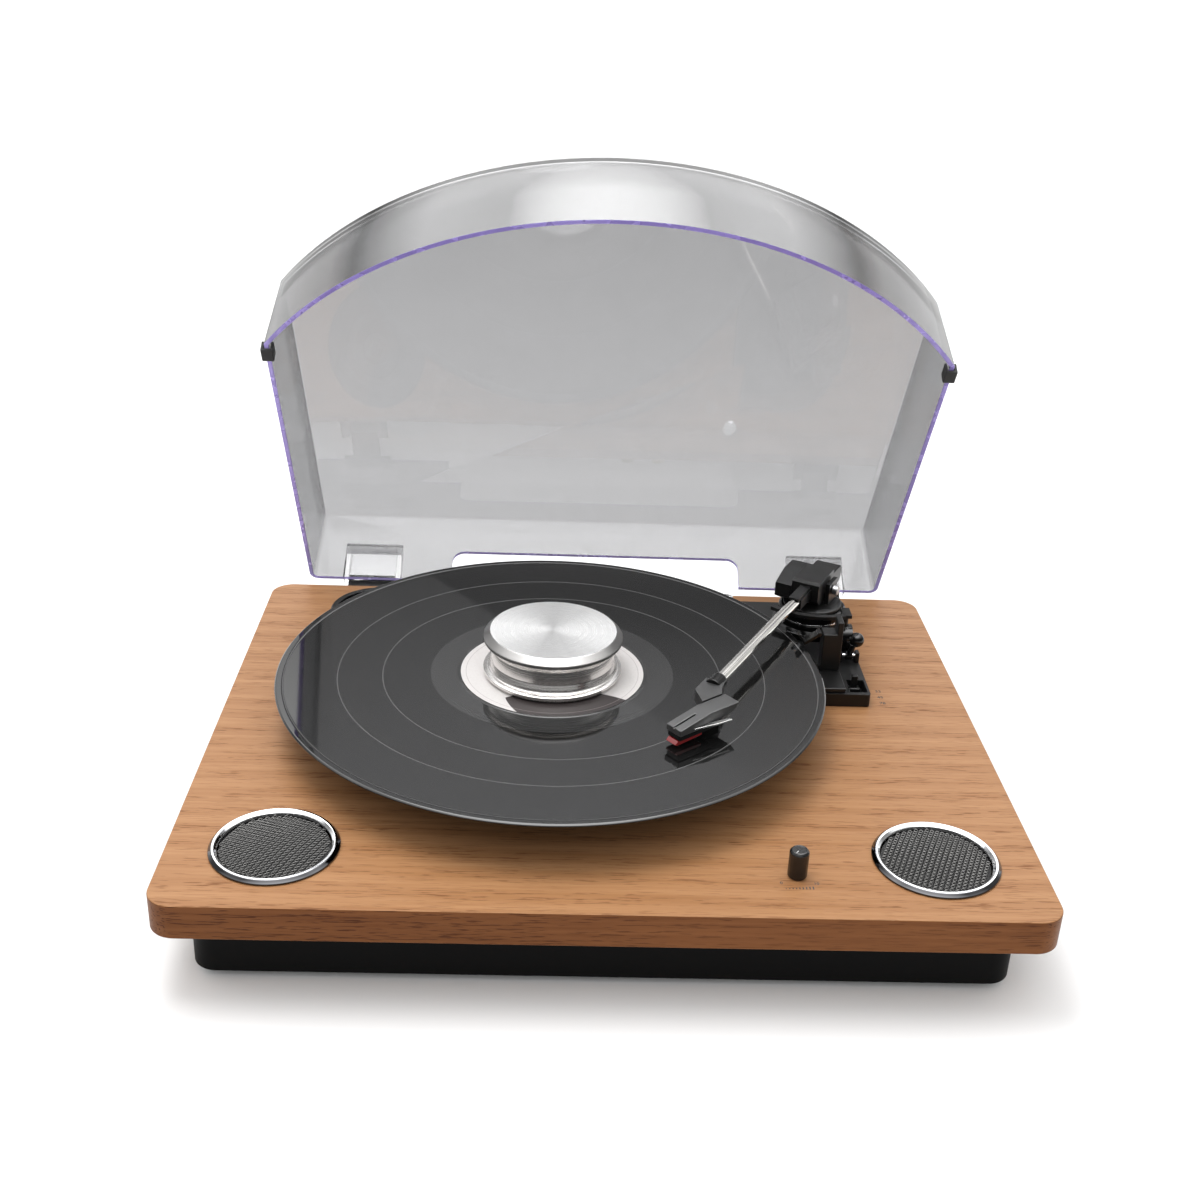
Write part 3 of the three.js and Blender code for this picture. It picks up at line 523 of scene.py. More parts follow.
def perforated_dome(name, place, radius):
    """A dome of small long rings that touch, in slanting rows: a perforated grille."""
    tree, source, sockets = growing_tree("perforated_dome", Radius="Float", Rise="Float",
                                         Pitch="Float")
    wide = calc(tree, "MULTIPLY", source["Radius"], 2.2)
    count = calc(tree, "DIVIDE", wide, source["Pitch"])
    grid = add_node(tree, "GeometryNodeMeshGrid", Size_X=wide, Size_Y=wide,
                    Vertices_X=count, Vertices_Y=count).outputs[0]
    turned = add_node(tree, "GeometryNodeTransform", Geometry=grid, Rotation=ROW_TURN).outputs[0]
    position = add_node(tree, "GeometryNodeInputPosition").outputs[0]
    distance = vector_calc(tree, "LENGTH", i0=position)["Value"]
    outside = add_node(tree, "FunctionNodeCompare", {"operation": "GREATER_THAN"},
                       i0=distance, i1=source["Radius"]).outputs[0]
    kept = add_node(tree, "GeometryNodeDeleteGeometry", {"domain": "POINT"},
                    Geometry=turned, Selection=outside).outputs[0]
    share = calc(tree, "POWER", calc(tree, "DIVIDE", distance, source["Radius"]), 2.0)
    height = calc(tree, "MULTIPLY", calc(tree, "SUBTRACT", 1.0, share), source["Rise"])
    lift = add_node(tree, "ShaderNodeCombineXYZ", Z=height).outputs[0]
    domed = add_node(tree, "GeometryNodeSetPosition", Geometry=kept, Offset=lift).outputs[0]
    eye, wire = (
        add_node(tree, "GeometryNodeCurvePrimitiveCircle", Resolution=sides,
                 Radius=calc(tree, "MULTIPLY", source["Pitch"], part)).outputs[0]
        for sides, part in ((10, 0.41), (5, 0.09))
    )
    ring = add_node(tree, "GeometryNodeCurveToMesh", Curve=eye, Profile_Curve=wire).outputs[0]
    rings = add_node(tree, "GeometryNodeInstanceOnPoints", Points=domed, Instance=ring,
                     Rotation=ROW_TURN, Scale=(1.16, 0.94, 1.0)).outputs[0]
    sizes = {"Radius": radius, "Rise": GRILLE_RISE, "Pitch": GRILLE_PITCH}
    values = {sockets[key]: size / 1000 for key, size in sizes.items()}
    mesh = grown(name, tree, bpy.data.meshes.new(name), values, rings, grille_black)
    form = bmesh.new()
    form.from_mesh(mesh)
    bmesh.ops.recalc_face_normals(form, faces=form.faces)
    form.to_mesh(mesh)
    form.free()
    mesh.transform(place)
    return link_piece(name, mesh, [], sharp=180.0)


for side in ("left", "right"):
    x, y, wide, _, _ = measured(f"speaker_bezel_{side}")
    place = upright(x, y)
    bezel_outline = rounded([
        (wide - 4.2, -3.0), (wide - 3.8, -3.0), (wide - 3.8, 0.3), (wide, 0.3), (wide, 0.9),
        (wide - 0.7, 1.6), (wide - 1.6, 2.6), (wide - 2.8, 2.6), (wide - 4.2, 1.2),
    ], 0.35, closed=True)
    bezel = lathe(f"chrome_bezel_{side}", bezel_outline, place, chrome, chrome_painted_dark_reflection, sides=128,
                  closed=True)
    # Faces on the outer slope take the dark copy of the chrome, as a painted dark reflection.
    for face in bezel.data.polygons:
        away = (face.center - place.translation).xy.length * 1000
        face.material_index = 1 if away > wide - 1.75 else 0
    settle(bezel, "base", "chrome", f"speaker_bezel_{side}")
    reach = wide - 4.9
    dome = perforated_dome(f"grille_dome_{side}", upright(x, y, 0.1), reach)
    settle(dome, "base", "matte_black", f"speaker_grille_{side}")
    backing_outline = rounded([(0, 0.9), (reach * 0.5, 0.4), (reach + 0.2, -0.5),
                               (reach + 0.2, -0.9), (0, -0.9)], 0.2)
    backing = lathe(f"grille_cloth_{side}", backing_outline, place, cone_paper, sides=64)
    settle(backing, "base", "matte_black", f"speaker_grille_{side}")
    coat(cone_paper, f"speaker_driver_{side}")

# ---------------------------------------------------------------------------
# Volume control: a potentiometer under the board, and on its shaft a tall
# fluted knob with a white pointer line. A printed scale lies in front of it.
# ---------------------------------------------------------------------------

knob_black = grained("knob_black", 0.006, 0.22, grain=2500.0, depth=0.00001)
print_black = grained("printed_black", (0.05, 0.035, 0.03), 0.6, grain=2000.0, depth=0.00001)
pointer_white = grained("pointer_white", 0.5, 0.5, grain=2000.0, depth=0.00001)
knob_x, knob_y, KNOB_R, _, KNOB_TOP = measured("volume_knob")
knob_place = upright(knob_x, knob_y)
knob_outline = rounded([
    (3.4, 0.4), (KNOB_R - 0.2, 0.4), (KNOB_R, 1.0), (KNOB_R, KNOB_TOP - 1.2),
    (KNOB_R - 0.9, KNOB_TOP - 0.1), (KNOB_R - 1.3, KNOB_TOP), (KNOB_R - 1.5, KNOB_TOP - 0.3),
    (0, KNOB_TOP - 0.25),
], 0.25)
knob = lathe("fluted_knob", [(0, 8.4), (3.3, 8.4), *knob_outline], knob_place, knob_black,
             sides=144)
for vert in knob.data.vertices:
    spot = vert.co - knob_place.translation
    reach = math.hypot(spot.x, spot.y) * 1000
    if reach > KNOB_R - 0.35 and 0.0015 < spot.z < (KNOB_TOP - 1.5) / 1000:
        flute = 1.0 - 0.16 * max(0.0, math.cos(18 * math.atan2(spot.y, spot.x))) ** 2 / reach
        vert.co.x = knob_place.translation.x + spot.x * flute
        vert.co.y = knob_place.translation.y + spot.y * flute
settle(knob, "volume_knob", "satin_black", "volume_knob")


def prism(near, far):
    """A closed solid between two outlines with the same number of corners, in millimetres."""
    form = bmesh.new()
    first, last = ([form.verts.new(Vector(spot) / 1000) for spot in end] for end in (near, far))
    form.faces.new(first)
    form.faces.new(last)
    for index in range(len(first)):
        after = (index + 1) % len(first)
        form.faces.new((first[index], first[after], last[after], last[index]))
    bmesh.ops.recalc_face_normals(form, faces=form.faces)
    return form


def slab_piece(name, x0, x1, y0, y1, low, high, place, material, edge=0.0):
    """A flat bar on a place, in millimetres, its edges eased if asked."""
    corners = [(x0, y0), (x1, y0), (x1, y1), (x0, y1)]
    form = prism([(x, y, low) for x, y in corners], [(x, y, high) for x, y in corners])
    if edge:
        bmesh.ops.bevel(form, geom=form.edges[:], offset=edge / 1000, segments=2, profile=0.5,
                        affect="EDGES", clamp_overlap=True)
    bmesh.ops.transform(form, matrix=place, verts=form.verts)
    return piece_from(form, name, material)


pointer_place = knob_place @ Matrix.Rotation(math.radians(-128), 4, "Z")
pointer = slab_piece("knob_pointer", 1.2, KNOB_R - 1.6, -0.22, 0.22, KNOB_TOP - 0.35,
                     KNOB_TOP - 0.12, pointer_place, pointer_white, edge=0.05)
settle(pointer, "volume_knob", "satin_black")
pot_steel = grained("pressed_steel", (0.45, 0.45, 0.46), 0.35, metallic=1.0, depth=0.00001)
coat(pot_steel, "volume_potentiometer")

INK_LIFT = 0.04


def join_pieces(name, pieces):
    """Joins meshes that lie at the origin into one piece."""
    form = bmesh.new()
    materials = list(pieces[0].data.materials)
    for part in pieces:
        form.from_mesh(part.data)
        bpy.data.objects.remove(part)
    return piece_from(form, name, *materials)


def number(text, x, y, size):
    """A printed number lying flat on the board, centred on a place in deck millimetres."""
    curve = bpy.data.curves.new("number_" + text, "FONT")
    curve.body = text
    curve.size = size / 1000
    curve.extrude = 0.00001
    curve.offset = 0.00006
    curve.align_x = curve.align_y = "CENTER"
    holder = bpy.data.objects.new("number_" + text, curve)
    bpy.context.collection.objects.link(holder)
    mesh = evaluated(holder)
    mesh.transform(upright(x, y, INK_LIFT))
    mesh.materials.clear()
    return link_piece("number_" + text, mesh, [print_black])


scale_prints = [number("0", knob_x - 8.2, knob_y - 6.0, 2.6),
                number("10", knob_x + 8.4, knob_y - 6.0, 2.6)]
for mark in range(9):
    x, y, tall = knob_x - 6.4 + mark * 1.6, knob_y - 10.6, 0.5 + 0.22 * mark
    scale_prints.append(slab_piece("scale_mark", x - 0.34, x + 0.34, y, y + tall, 0.02, INK_LIFT,
                                   upright(0, 0), print_black))
settle(join_pieces("volume_scale", scale_prints), "base", "satin_black")

# ---------------------------------------------------------------------------
# Electronics: a glass-fibre board inside the case, and behind it the rear
# panel with a power socket, an audio input and a pair of outputs.
# ---------------------------------------------------------------------------

board_green = grained("board_green", (0.02, 0.10, 0.04), 0.45, grain=250.0, depth=0.00005)
turned_brass = grained("turned_brass", (0.62, 0.45, 0.18), 0.28, metallic=1.0, grain=2000.0,
                       depth=0.00001)
coat(board_green, "circuit_board")
ease_all(
    ("rear_jack_panel", "socket_panel", 0.4, case_black, "base", "satin_black"),
    ("power_jack", "power_jack_socket", 0.25, knob_black, "base", "satin_black"),
    ("aux_jack", "aux_jack_socket", 0.25, knob_black, "base", "satin_black"),
    ("line_out_jacks", "output_sockets", 0.3, turned_brass, "base", "brass"),
)
panel_low, panel_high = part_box("rear_jack_panel")
screw_set("panel_screws", [
    (x, panel_high.y + 0.0001, (panel_low.z + panel_high.z) / 2)
    for x in (panel_low.x + 0.005, panel_high.x - 0.005)
], 2.4, -math.pi / 2)

# ---------------------------------------------------------------------------
# Drive: a motor hangs from the board and turns the platter through a brass
# pulley and a flat rubber belt. The spindle runs in a brass bearing.
# ---------------------------------------------------------------------------

motor_steel = grained("motor_steel", (0.5, 0.5, 0.51), 0.32, metallic=1.0, grain=1800.0,
                      depth=0.00001)
belt_rubber = grained("belt_rubber", 0.018, 0.75, depth=0.00005)
cast_black = grained("cast_black", (0.016, 0.016, 0.017), 0.5, grain=600.0, depth=0.00006)
mat_felt = grained("mat_felt", (0.02, 0.02, 0.021), 0.95, grain=1600.0, depth=0.0004,
                   Sheen_Weight=0.5)
coat(motor_steel, "motor", "spindle")
coat(turned_brass, "motor_pulley", "spindle_bearing")
coat(belt_rubber, "drive_belt")

spindle_x, spindle_y, platter_r, skirt, platter_top = measured("platter")
on_spindle = upright(spindle_x, spindle_y)
SPINDLE_HOLE_R = 3.85
under = platter_top - 3
platter_outline = rounded([
    (SPINDLE_HOLE_R, skirt), (14, skirt), (16, under), (88, under), (88, skirt), (91, skirt),
    (91, under), (platter_r - 3, under), (platter_r - 3, skirt), (platter_r, skirt),
    (platter_r, platter_top), (SPINDLE_HOLE_R, platter_top),
], 0.8, closed=True)
platter = lathe("cast_platter", platter_outline, on_spindle, cast_black, sides=160, closed=True)
settle(platter, "platter_assembly", "platter_aluminium", "platter")
_, _, mat_r, mat_base, mat_top = measured("slip_mat")
mat_outline = rounded([(SPINDLE_HOLE_R, mat_base), (mat_r, mat_base), (mat_r, mat_top),
                       (SPINDLE_HOLE_R, mat_top)], 0.5, closed=True)
slip_mat = lathe("felt_mat", mat_outline, on_spindle, mat_felt, sides=128, closed=True)
settle(slip_mat, "platter_assembly", "felt", "slip_mat")

# ---------------------------------------------------------------------------
# Record: a 12 inch disc pressed from black vinyl with a raised rim, bands of
# fine grooves parted by smooth rings, a shiny run-out and a paper label.
# ---------------------------------------------------------------------------

_, _, RECORD_R, record_base, record_top = measured("record")
LABEL_R, RUN_OUT_R = 50.6, 67.0
BAND_GAPS = (93.0, 117.5)
# The run-out and the smooth rings are painted lighter in the vinyl's colour: painted sheen.
RUN_OUT_PAINTED_SHEEN, RING_PAINTED_SHEEN = 4.5, 14.0


def distance_from_axis(tree, axis):
    """Millimetres from an upright axis through a point, and the flat arrow away from it."""
    away = vector_calc(tree, "SUBTRACT", i0=object_place(tree), i1=axis)[0]
    flat = vector_calc(tree, "MULTIPLY", i0=away, i1=(1000.0, 1000.0, 0.0))[0]
    return vector_calc(tree, "LENGTH", i0=flat)["Value"], flat


def within(tree, value, middle, reach):
    """1 where a value lies within a reach of a middle, otherwise 0."""
    off = calc(tree, "ABSOLUTE", calc(tree, "SUBTRACT", value, middle))
    return calc(tree, "LESS_THAN", off, reach)


def record_bands():
    tree, source = shader_group("record_bands", Colour=rgba(0.01), Axis=(0.0, 0.0, 0.0))
    radius, _ = distance_from_axis(tree, source["Axis"])
    run_out = calc(tree, "LESS_THAN", radius, RUN_OUT_R)
    smooth = calc(tree, "MAXIMUM", run_out, calc(tree, "GREATER_THAN", radius, RECORD_R - 4.2))
    for gap in BAND_GAPS:
        smooth = calc(tree, "MAXIMUM", smooth, within(tree, radius, gap, 0.45))
    along = add_node(tree, "ShaderNodeCombineXYZ", X=radius).outputs[0]
    loud = noise(tree, along, 0.9, 6.0)[0]
    ripple = noise(tree, along, 3.5, 2.0)[0]
    grooved = span(tree, loud, 0.3, 0.7, 0.045, 0.075)
    # Painted sheen: the colour is raised on the run-out, at the smooth rings between bands and near
    # the rim. The groove noise also varies the tone along the radius.
    bright = calc(tree, "MULTIPLY", run_out, RUN_OUT_PAINTED_SHEEN)
    for gap in (*BAND_GAPS, RECORD_R - 4.3):
        bright = calc(tree, "MULTIPLY_ADD", within(tree, radius, gap, 0.3), RING_PAINTED_SHEEN, bright)
    lift = calc(tree, "ADD", span(tree, loud, 0.3, 0.7, 0.4, 1.6), bright)
    return give(tree, Colour=vector_calc(tree, "SCALE", i0=source["Colour"], Scale=lift)[0],
                Roughness=choose(tree, smooth, grooved, 0.03),
                Height=calc(tree, "MULTIPLY", ripple, calc(tree, "SUBTRACT", 1.0, smooth)))


spindle_axis = deck(spindle_x, spindle_y)
vinyl = grouped("pressed_vinyl", record_bands(), 0.005, 0.06, 0.0000025,
                {"Colour": rgba(0.006), "Axis": spindle_axis}, IOR=1.52)

groove_face = record_top - 0.4
gap_steps = [(gap + out, groove_face + rise) for gap in reversed(BAND_GAPS)
             for out, rise in ((0.5, 0.0), (0.3, 0.03), (-0.3, 0.03), (-0.5, 0.0))]
record_outline = rounded([
    (SPINDLE_HOLE_R, record_base), (RECORD_R - 0.8, record_base), (RECORD_R, record_base + 0.8),
    (RECORD_R, record_top - 0.9), (RECORD_R - 0.8, record_top - 0.2),
    (RECORD_R - 3.6, record_top - 0.22), (RECORD_R - 4.6, groove_face), *gap_steps,
    (RUN_OUT_R + 0.2, groove_face), (RUN_OUT_R - 0.2, groove_face - 0.02),
    (LABEL_R + 1.6, groove_face - 0.02), (LABEL_R + 0.8, record_top - 0.05),
    (LABEL_R, record_top - 0.1), (SPINDLE_HOLE_R, record_top - 0.1),
], 0.35, closed=True)
record = lathe("vinyl_record", record_outline, on_spindle, vinyl, sides=256, closed=True)
settle(record, "platter_assembly", "vinyl", "record")


def label_paper():
    """Cream paper with a thin printed ring and a dark crescent towards one side."""
    material, shader = finish("label_paper", (0.80, 0.77, 0.74), 0.5)
    tree = material.node_tree
    radius, flat = distance_from_axis(tree, spindle_axis)
    # The label is darker inside the crescent where two discs overlap, in front of the weight.
    crescent = 1.0
    for x, y, reach in ((15.8, -23.0, 41.7), (7.8, -82.9, 60.4)):
        away = vector_calc(tree, "DISTANCE", i0=flat, i1=(x, y, 0.0))["Value"]
        crescent = calc(tree, "MULTIPLY", crescent, calc(tree, "LESS_THAN", away, reach))
    fibre = noise(tree, object_place(tree), 900.0, 3.0)[0]
    cream = blend(tree, fibre, rgba((0.62, 0.59, 0.575)), rgba((0.72, 0.70, 0.69)))
    crescent_darkened = blend(tree, crescent, cream, rgba((0.022, 0.017, 0.017)))
    ring = calc(tree, "MULTIPLY", within(tree, radius, 47.6, 0.16), 0.6)
    ringed = blend(tree, ring, crescent_darkened, rgba((0.30, 0.27, 0.26)))
    bump = add_node(tree, "ShaderNodeBump", Height=fibre, Distance=0.00002, Strength=1.0)
    tree.links.new(ringed, shader.inputs["Base Color"])
    tree.links.new(bump.outputs[0], shader.inputs["Normal"])
    return material


label_base = record_top - 0.08
label_outline = rounded([(3.95, label_base), (LABEL_R - 0.1, label_base),
                         (LABEL_R - 0.1, record_top), (3.95, record_top)], 0.03, closed=True)
label = lathe("record_label", label_outline, on_spindle, label_paper(), sides=128, closed=True)
settle(label, "platter_assembly", "vinyl")

# ---------------------------------------------------------------------------
# Centre weight: one turned piece of aluminium, waisted for the fingers, with a
# finely turned top, a bead-blasted bevel painted a darker metal colour as shade,
# and a polished waist and foot.
# ---------------------------------------------------------------------------


def turning_marks_and_painted_rays():
    tree, source = shader_group("turning_marks_and_painted_rays", Colour=rgba(0.8), Axis=(0.0, 0.0, 0.0),
                                Pitch=6.0, Roughness=0.3)
    radius, flat = distance_from_axis(tree, source["Axis"])
    height = add_node(tree, "ShaderNodeSeparateXYZ", Vector=object_place(tree)).outputs["Z"]
    along = add_node(tree, "ShaderNodeCombineXYZ", X=radius,
                     Y=calc(tree, "MULTIPLY", height, 1000.0)).outputs[0]
    lines = noise(tree, along, source["Pitch"], 4.0)[0]
    # Painted highlight: faint ray streaks round the axis lighten and darken the metal's colour,
    # standing in for a turned surface's radial highlight.
    painted_rays = noise(tree, vector_calc(tree, "NORMALIZE", i0=flat)[0], 2.2, 5.0)[0]
    shade = calc(tree, "MULTIPLY", span(tree, painted_rays, 0.3, 0.7, 0.93, 1.05),
                 span(tree, lines, 0.3, 0.7, 0.95, 1.03))
    wander = span(tree, lines, 0.3, 0.7, 0.8, 1.25)
    return give(tree, Colour=vector_calc(tree, "SCALE", i0=source["Colour"], Scale=shade)[0],
                Roughness=calc(tree, "MULTIPLY", source["Roughness"], wander), Height=lines)


turning_group = turning_marks_and_painted_rays()


def turned_metal(name, colour, roughness, pitch, depth, anisotropy=0.0):
    values = {"Colour": rgba(colour), "Axis": spindle_axis, "Pitch": pitch,
              "Roughness": roughness}
    material = grouped(name, turning_group, colour, roughness, depth, values, 1.0,
                       Anisotropic=anisotropy)
    if anisotropy:
        tree = material.node_tree
        tangent = add_node(tree, "ShaderNodeTangent", {"direction_type": "RADIAL", "axis": "Z"})
        tree.links.new(tangent.outputs[0], tree.nodes["Principled BSDF"].inputs["Tangent"])
    return material


turned_top = turned_metal("turned_top", (0.90, 0.90, 0.89), 0.30, 5.0, 0.000001, 0.6)
# The bevel's darker metal colour is painted shade on the same aluminium; its higher roughness is
# real.
bevel_painted_shade = turned_metal("bevel_painted_shade", (0.27, 0.265, 0.26), 0.34, 9.0, 0.000003)
polished_waist = turned_metal("polished_waist", (0.72, 0.70, 0.68), 0.24, 6.0, 0.000002)
_, _, WEIGHT_R, foot, weight_top = measured("record_weight")
bevel_line = weight_top - 3.4
weight_outline = rounded([
    (0, foot + 8.0), (SPINDLE_HOLE_R, foot + 8.0), (SPINDLE_HOLE_R, foot),
    (WEIGHT_R - 1.2, foot), (WEIGHT_R - 0.9, foot + 0.9), (WEIGHT_R - 0.4, foot + 1.0),
    (WEIGHT_R, foot + 1.6), (WEIGHT_R, foot + 3.0), (WEIGHT_R - 1.6, foot + 3.8),
    (WEIGHT_R - 2.8, foot + 4.0), (WEIGHT_R - 3.6, foot + 5.2), (WEIGHT_R - 4.4, foot + 8.5),
    (WEIGHT_R - 4.2, bevel_line - 5.6), (WEIGHT_R - 2.4, bevel_line - 2.8),
    (WEIGHT_R - 0.4, bevel_line - 1.9), (WEIGHT_R, bevel_line - 1.4), (WEIGHT_R, bevel_line),
    (WEIGHT_R - 3.2, weight_top - 0.25), (WEIGHT_R - 3.6, weight_top), (0, weight_top),
], 0.4)
weight = lathe("centre_weight", weight_outline, on_spindle, polished_waist, turned_top,
               bevel_painted_shade, sides=192)
for face in weight.data.polygons:
    height = (face.center.z - board_high.z) * 1000
    if face.normal.z > 0.95 and height > weight_top - 0.2:
        face.material_index = 1
    elif height > bevel_line - 1.8:
        face.material_index = 2
settle(weight, "record_weight", "weight_aluminium", "record_weight")

# ---------------------------------------------------------------------------
# Adapter and its holder: a dished black moulding let into the board behind the
# record, and in it a plastic disc that centres records with a large hole.
# ---------------------------------------------------------------------------

gloss_black = grained("gloss_black", 0.003, 0.14, spread=0.04, grain=900.0, depth=0.000008,
                      Specular_IOR_Level=0.3)
satin_black = grained("satin_black", 0.006, 0.33, grain=1400.0, depth=0.00001,
                      Specular_IOR_Level=0.28)
cup_x, cup_y, CUP_R, _, _ = measured("adapter_cup")
cup_outline = rounded([
    (0, -7.6), (CUP_R - 3.4, -7.6), (CUP_R - 3.4, 0.3), (CUP_R, 0.3), (CUP_R, 1.2),
    (CUP_R - 1.0, 2.2), (CUP_R - 4.4, 2.2), (CUP_R - 5.4, -6.0), (0, -6.0),
], 0.6)
cup = lathe("adapter_holder", cup_outline, upright(cup_x, cup_y), gloss_black, sides=128)
settle(cup, "base", "gloss_black", "adapter_cup")
adapter_outline = rounded([
    (3.9, -5.6), (18.6, -5.6), (19.1, -5.0), (19.1, -0.5), (17.0, 0.4), (15.0, 0.4),
    (14.2, -0.6), (8.6, -0.6), (8.0, 0.4), (3.9, 0.4),
], 0.4, closed=True)
adapter = lathe("record_adapter", adapter_outline, upright(cup_x, cup_y), satin_black,
                closed=True)
settle(adapter, "base", "satin_black", "single_adapter")
ease_all(("transport_screw", "transit_screw", 0.25, chrome, "base", "chrome"))

# ---------------------------------------------------------------------------
# Tonearm base: a satin plate with a raised cover, a ringed column that the arm
# turns on, the domed lift housing, the cueing lever and the rest post.
# ---------------------------------------------------------------------------

ease_all(("arm_base_plate", "arm_plate", 0.7, satin_black, "base", "satin_black"),
         ("arm_base_cover", "arm_plate_cover", 0.5, satin_black, "base", "satin_black"))
pivot_x, pivot_y, COLUMN_R, foot, column_top = measured("arm_pivot_column")
on_pivot = upright(pivot_x, pivot_y)
neck = COLUMN_R - 3.0
column_outline = rounded([
    (0, foot), (COLUMN_R, foot), (COLUMN_R, foot + 3.7), (neck, foot + 5.1), (neck, foot + 8.7),
    (neck - 1.3, foot + 8.7), (neck - 1.3, foot + 9.9), (neck, foot + 9.9),
    (neck, column_top - 1.0), (neck - 1.5, column_top), (0, column_top),
], 0.35)
column = lathe("ringed_column", column_outline, on_pivot, gloss_black, sides=128)
settle(column, "base", "gloss_black", "arm_pivot_column")
ring_outline = rounded([(neck - 1.2, foot + 8.9), (neck - 0.2, foot + 8.9),
                        (neck - 0.2, foot + 9.7), (neck - 1.2, foot + 9.7)], 0.2, closed=True)
trim_ring = lathe("column_ring", ring_outline, on_pivot, chrome, sides=128, closed=True)
settle(trim_ring, "base", "chrome")
ease_all(
    ("arm_lift_housing", "lift_dome", 0.6, gloss_black, "base", "gloss_black"),
    ("cue_bracket", "lever_bracket", 0.3, satin_black, "base", "satin_black"),
    ("arm_rest_post", "rest_post", 0.6, satin_black, "base", "satin_black"),
    ("arm_rest_clip", "rest_clip", 0.4, gloss_black, "arm_rest_clip", "gloss_black"),
    ("speed_selector", "speed_slider", 0.4, satin_black, "speed_selector", "satin_black"),
    ("lift_platform", "lift_rail", 0.4, satin_black, "lift_platform", "satin_black"),
)

pin_low, pin_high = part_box("cue_pin")
pin_middle = (pin_low + pin_high) / 2
pin_half, PIN_R = (pin_high.x - pin_low.x) * 500, (pin_high.z - pin_low.z) * 500
along_x = Matrix.Rotation(math.pi / 2, 4, "Y")
pin_outline = rounded([(0, -pin_half), (PIN_R, -pin_half), (PIN_R, pin_half), (0, pin_half)], 0.3)
cue_pin = lathe("lever_pin", pin_outline, Matrix.Translation(pin_middle) @ along_x, chrome,
                sides=40)
settle(cue_pin, "base", "chrome", "cue_pin")

lever_x = measured("cue_lever")[0] / 1000
lever_place = Matrix.Translation((lever_x, pin_middle.y, pin_middle.z))
lever_turn = (Matrix.Rotation(math.radians(10), 4, "Y")
              @ Matrix.Rotation(math.radians(25), 4, "X"))
BALL_R, BALL_AT = 4.4, 15.0
ball_arc = [(BALL_R * math.sin(angle), BALL_AT - BALL_R * math.cos(angle))
            for angle in (math.radians(28 + 8 * step) for step in range(19))]
lever_outline = [(0, 1.6), (1.9, 1.6), (1.75, 5.0), (1.6, 9.0), (1.7, BALL_AT - 3.95),
                 *ball_arc, (0, BALL_AT + BALL_R)]
stick = lathe("lever_stick", lever_outline, lever_place @ lever_turn, gloss_black, sides=48)
hub_outline = rounded([(1.3, -1.8), (2.7, -1.8), (2.7, 1.8), (1.3, 1.8)], 0.3, closed=True)
hub = lathe("lever_hub", hub_outline, lever_place @ along_x, gloss_black, sides=48, closed=True)
settle(join_pieces("cueing_lever", [stick, hub]), "cue_lever", "satin_black", "cue_lever")

speed_prints = [number(text, 162.5, y, 3.6)
                for text, y in (("33", 215.0), ("45", 208.0), ("78", 201.0))]
settle(join_pieces("speed_numbers", speed_prints), "base", "satin_black")

# ---------------------------------------------------------------------------
# Tonearm: a black yoke turns on the column and holds the housing on a cross
# pin, with a weight behind. A plated tube carries the connector and the offset
# headshell with its cartridge and red stylus.
# ---------------------------------------------------------------------------

tube_plate = grained("tube_plate", (0.82, 0.80, 0.76), 0.09, spread=0.03, metallic=1.0,
                     grain=500.0, depth=0.000002)
stylus_red = grained("stylus_red", (0.22, 0.004, 0.006), 0.14, depth=0.00001, Coat_Weight=0.3)
head_satin = grained("head_satin", 0.02, 0.42, grain=1400.0, depth=0.00002,
                     Specular_IOR_Level=0.9)
bright_steel = grained("bright_steel", (0.62, 0.62, 0.61), 0.3, metallic=1.0, depth=0.00001)
ease_all(
    ("arm_yoke", "turning_yoke", 0.6, satin_black, "arm_turret", "gloss_black"),
    ("arm_housing", "arm_block", 0.5, satin_black, "tonearm", "gloss_black"),
    ("arm_counterweight", "rear_weight", 0.7, satin_black, "tonearm", "counterweight"),
    ("head_connector", "head_joint", 0.5, head_satin, "tonearm", "satin_black"),
    ("headshell", "head_shell", 0.45, head_satin, "tonearm", "satin_black"),
    ("cartridge", "cartridge_body", 0.3, gloss_black, "tonearm", "gloss_black"),
    ("stylus", "stylus_grip", 0.3, stylus_red, "tonearm", "red_plastic"),
    ("finger_lift", "finger_tab", 0.2, bright_steel, "tonearm", "steel"),
    ("arm_pivot_pin", "pivot_pin", 0.3, pot_steel, "arm_turret", "steel"),
)

ARM_TURN = math.radians(-28.65)
TUBE_R, TUBE_Z = 3.15, 38.0
tube_place = (upright(pivot_x, pivot_y, TUBE_Z) @ Matrix.Rotation(ARM_TURN, 4, "Z")
              @ Matrix.Rotation(-math.pi / 2, 4, "X"))
tube_outline = rounded([(0, -156.0), (TUBE_R, -156.0), (TUBE_R, -14.3), (0, -14.3)], 0.3)
arm_tube = lathe("plated_tube", tube_outline, tube_place, tube_plate, sides=64)
settle(arm_tube, "tonearm", "tube_aluminium", "arm_tube")
collar_outline = rounded([(0, -157.4), (4.7, -157.4), (4.7, -148.0), (0, -148.0)], 0.6,
                         closed=True)
collar = lathe("tube_collar", collar_outline, tube_place, gloss_black, sides=64, closed=True)
settle(collar, "tonearm", "satin_black")

# ---------------------------------------------------------------------------
# Dust cover: one clear smoke-tinted acrylic moulding, D-shaped, with drawn
# walls, a cable notch in the rear wall and a socket for each hinge leaf.
# ---------------------------------------------------------------------------

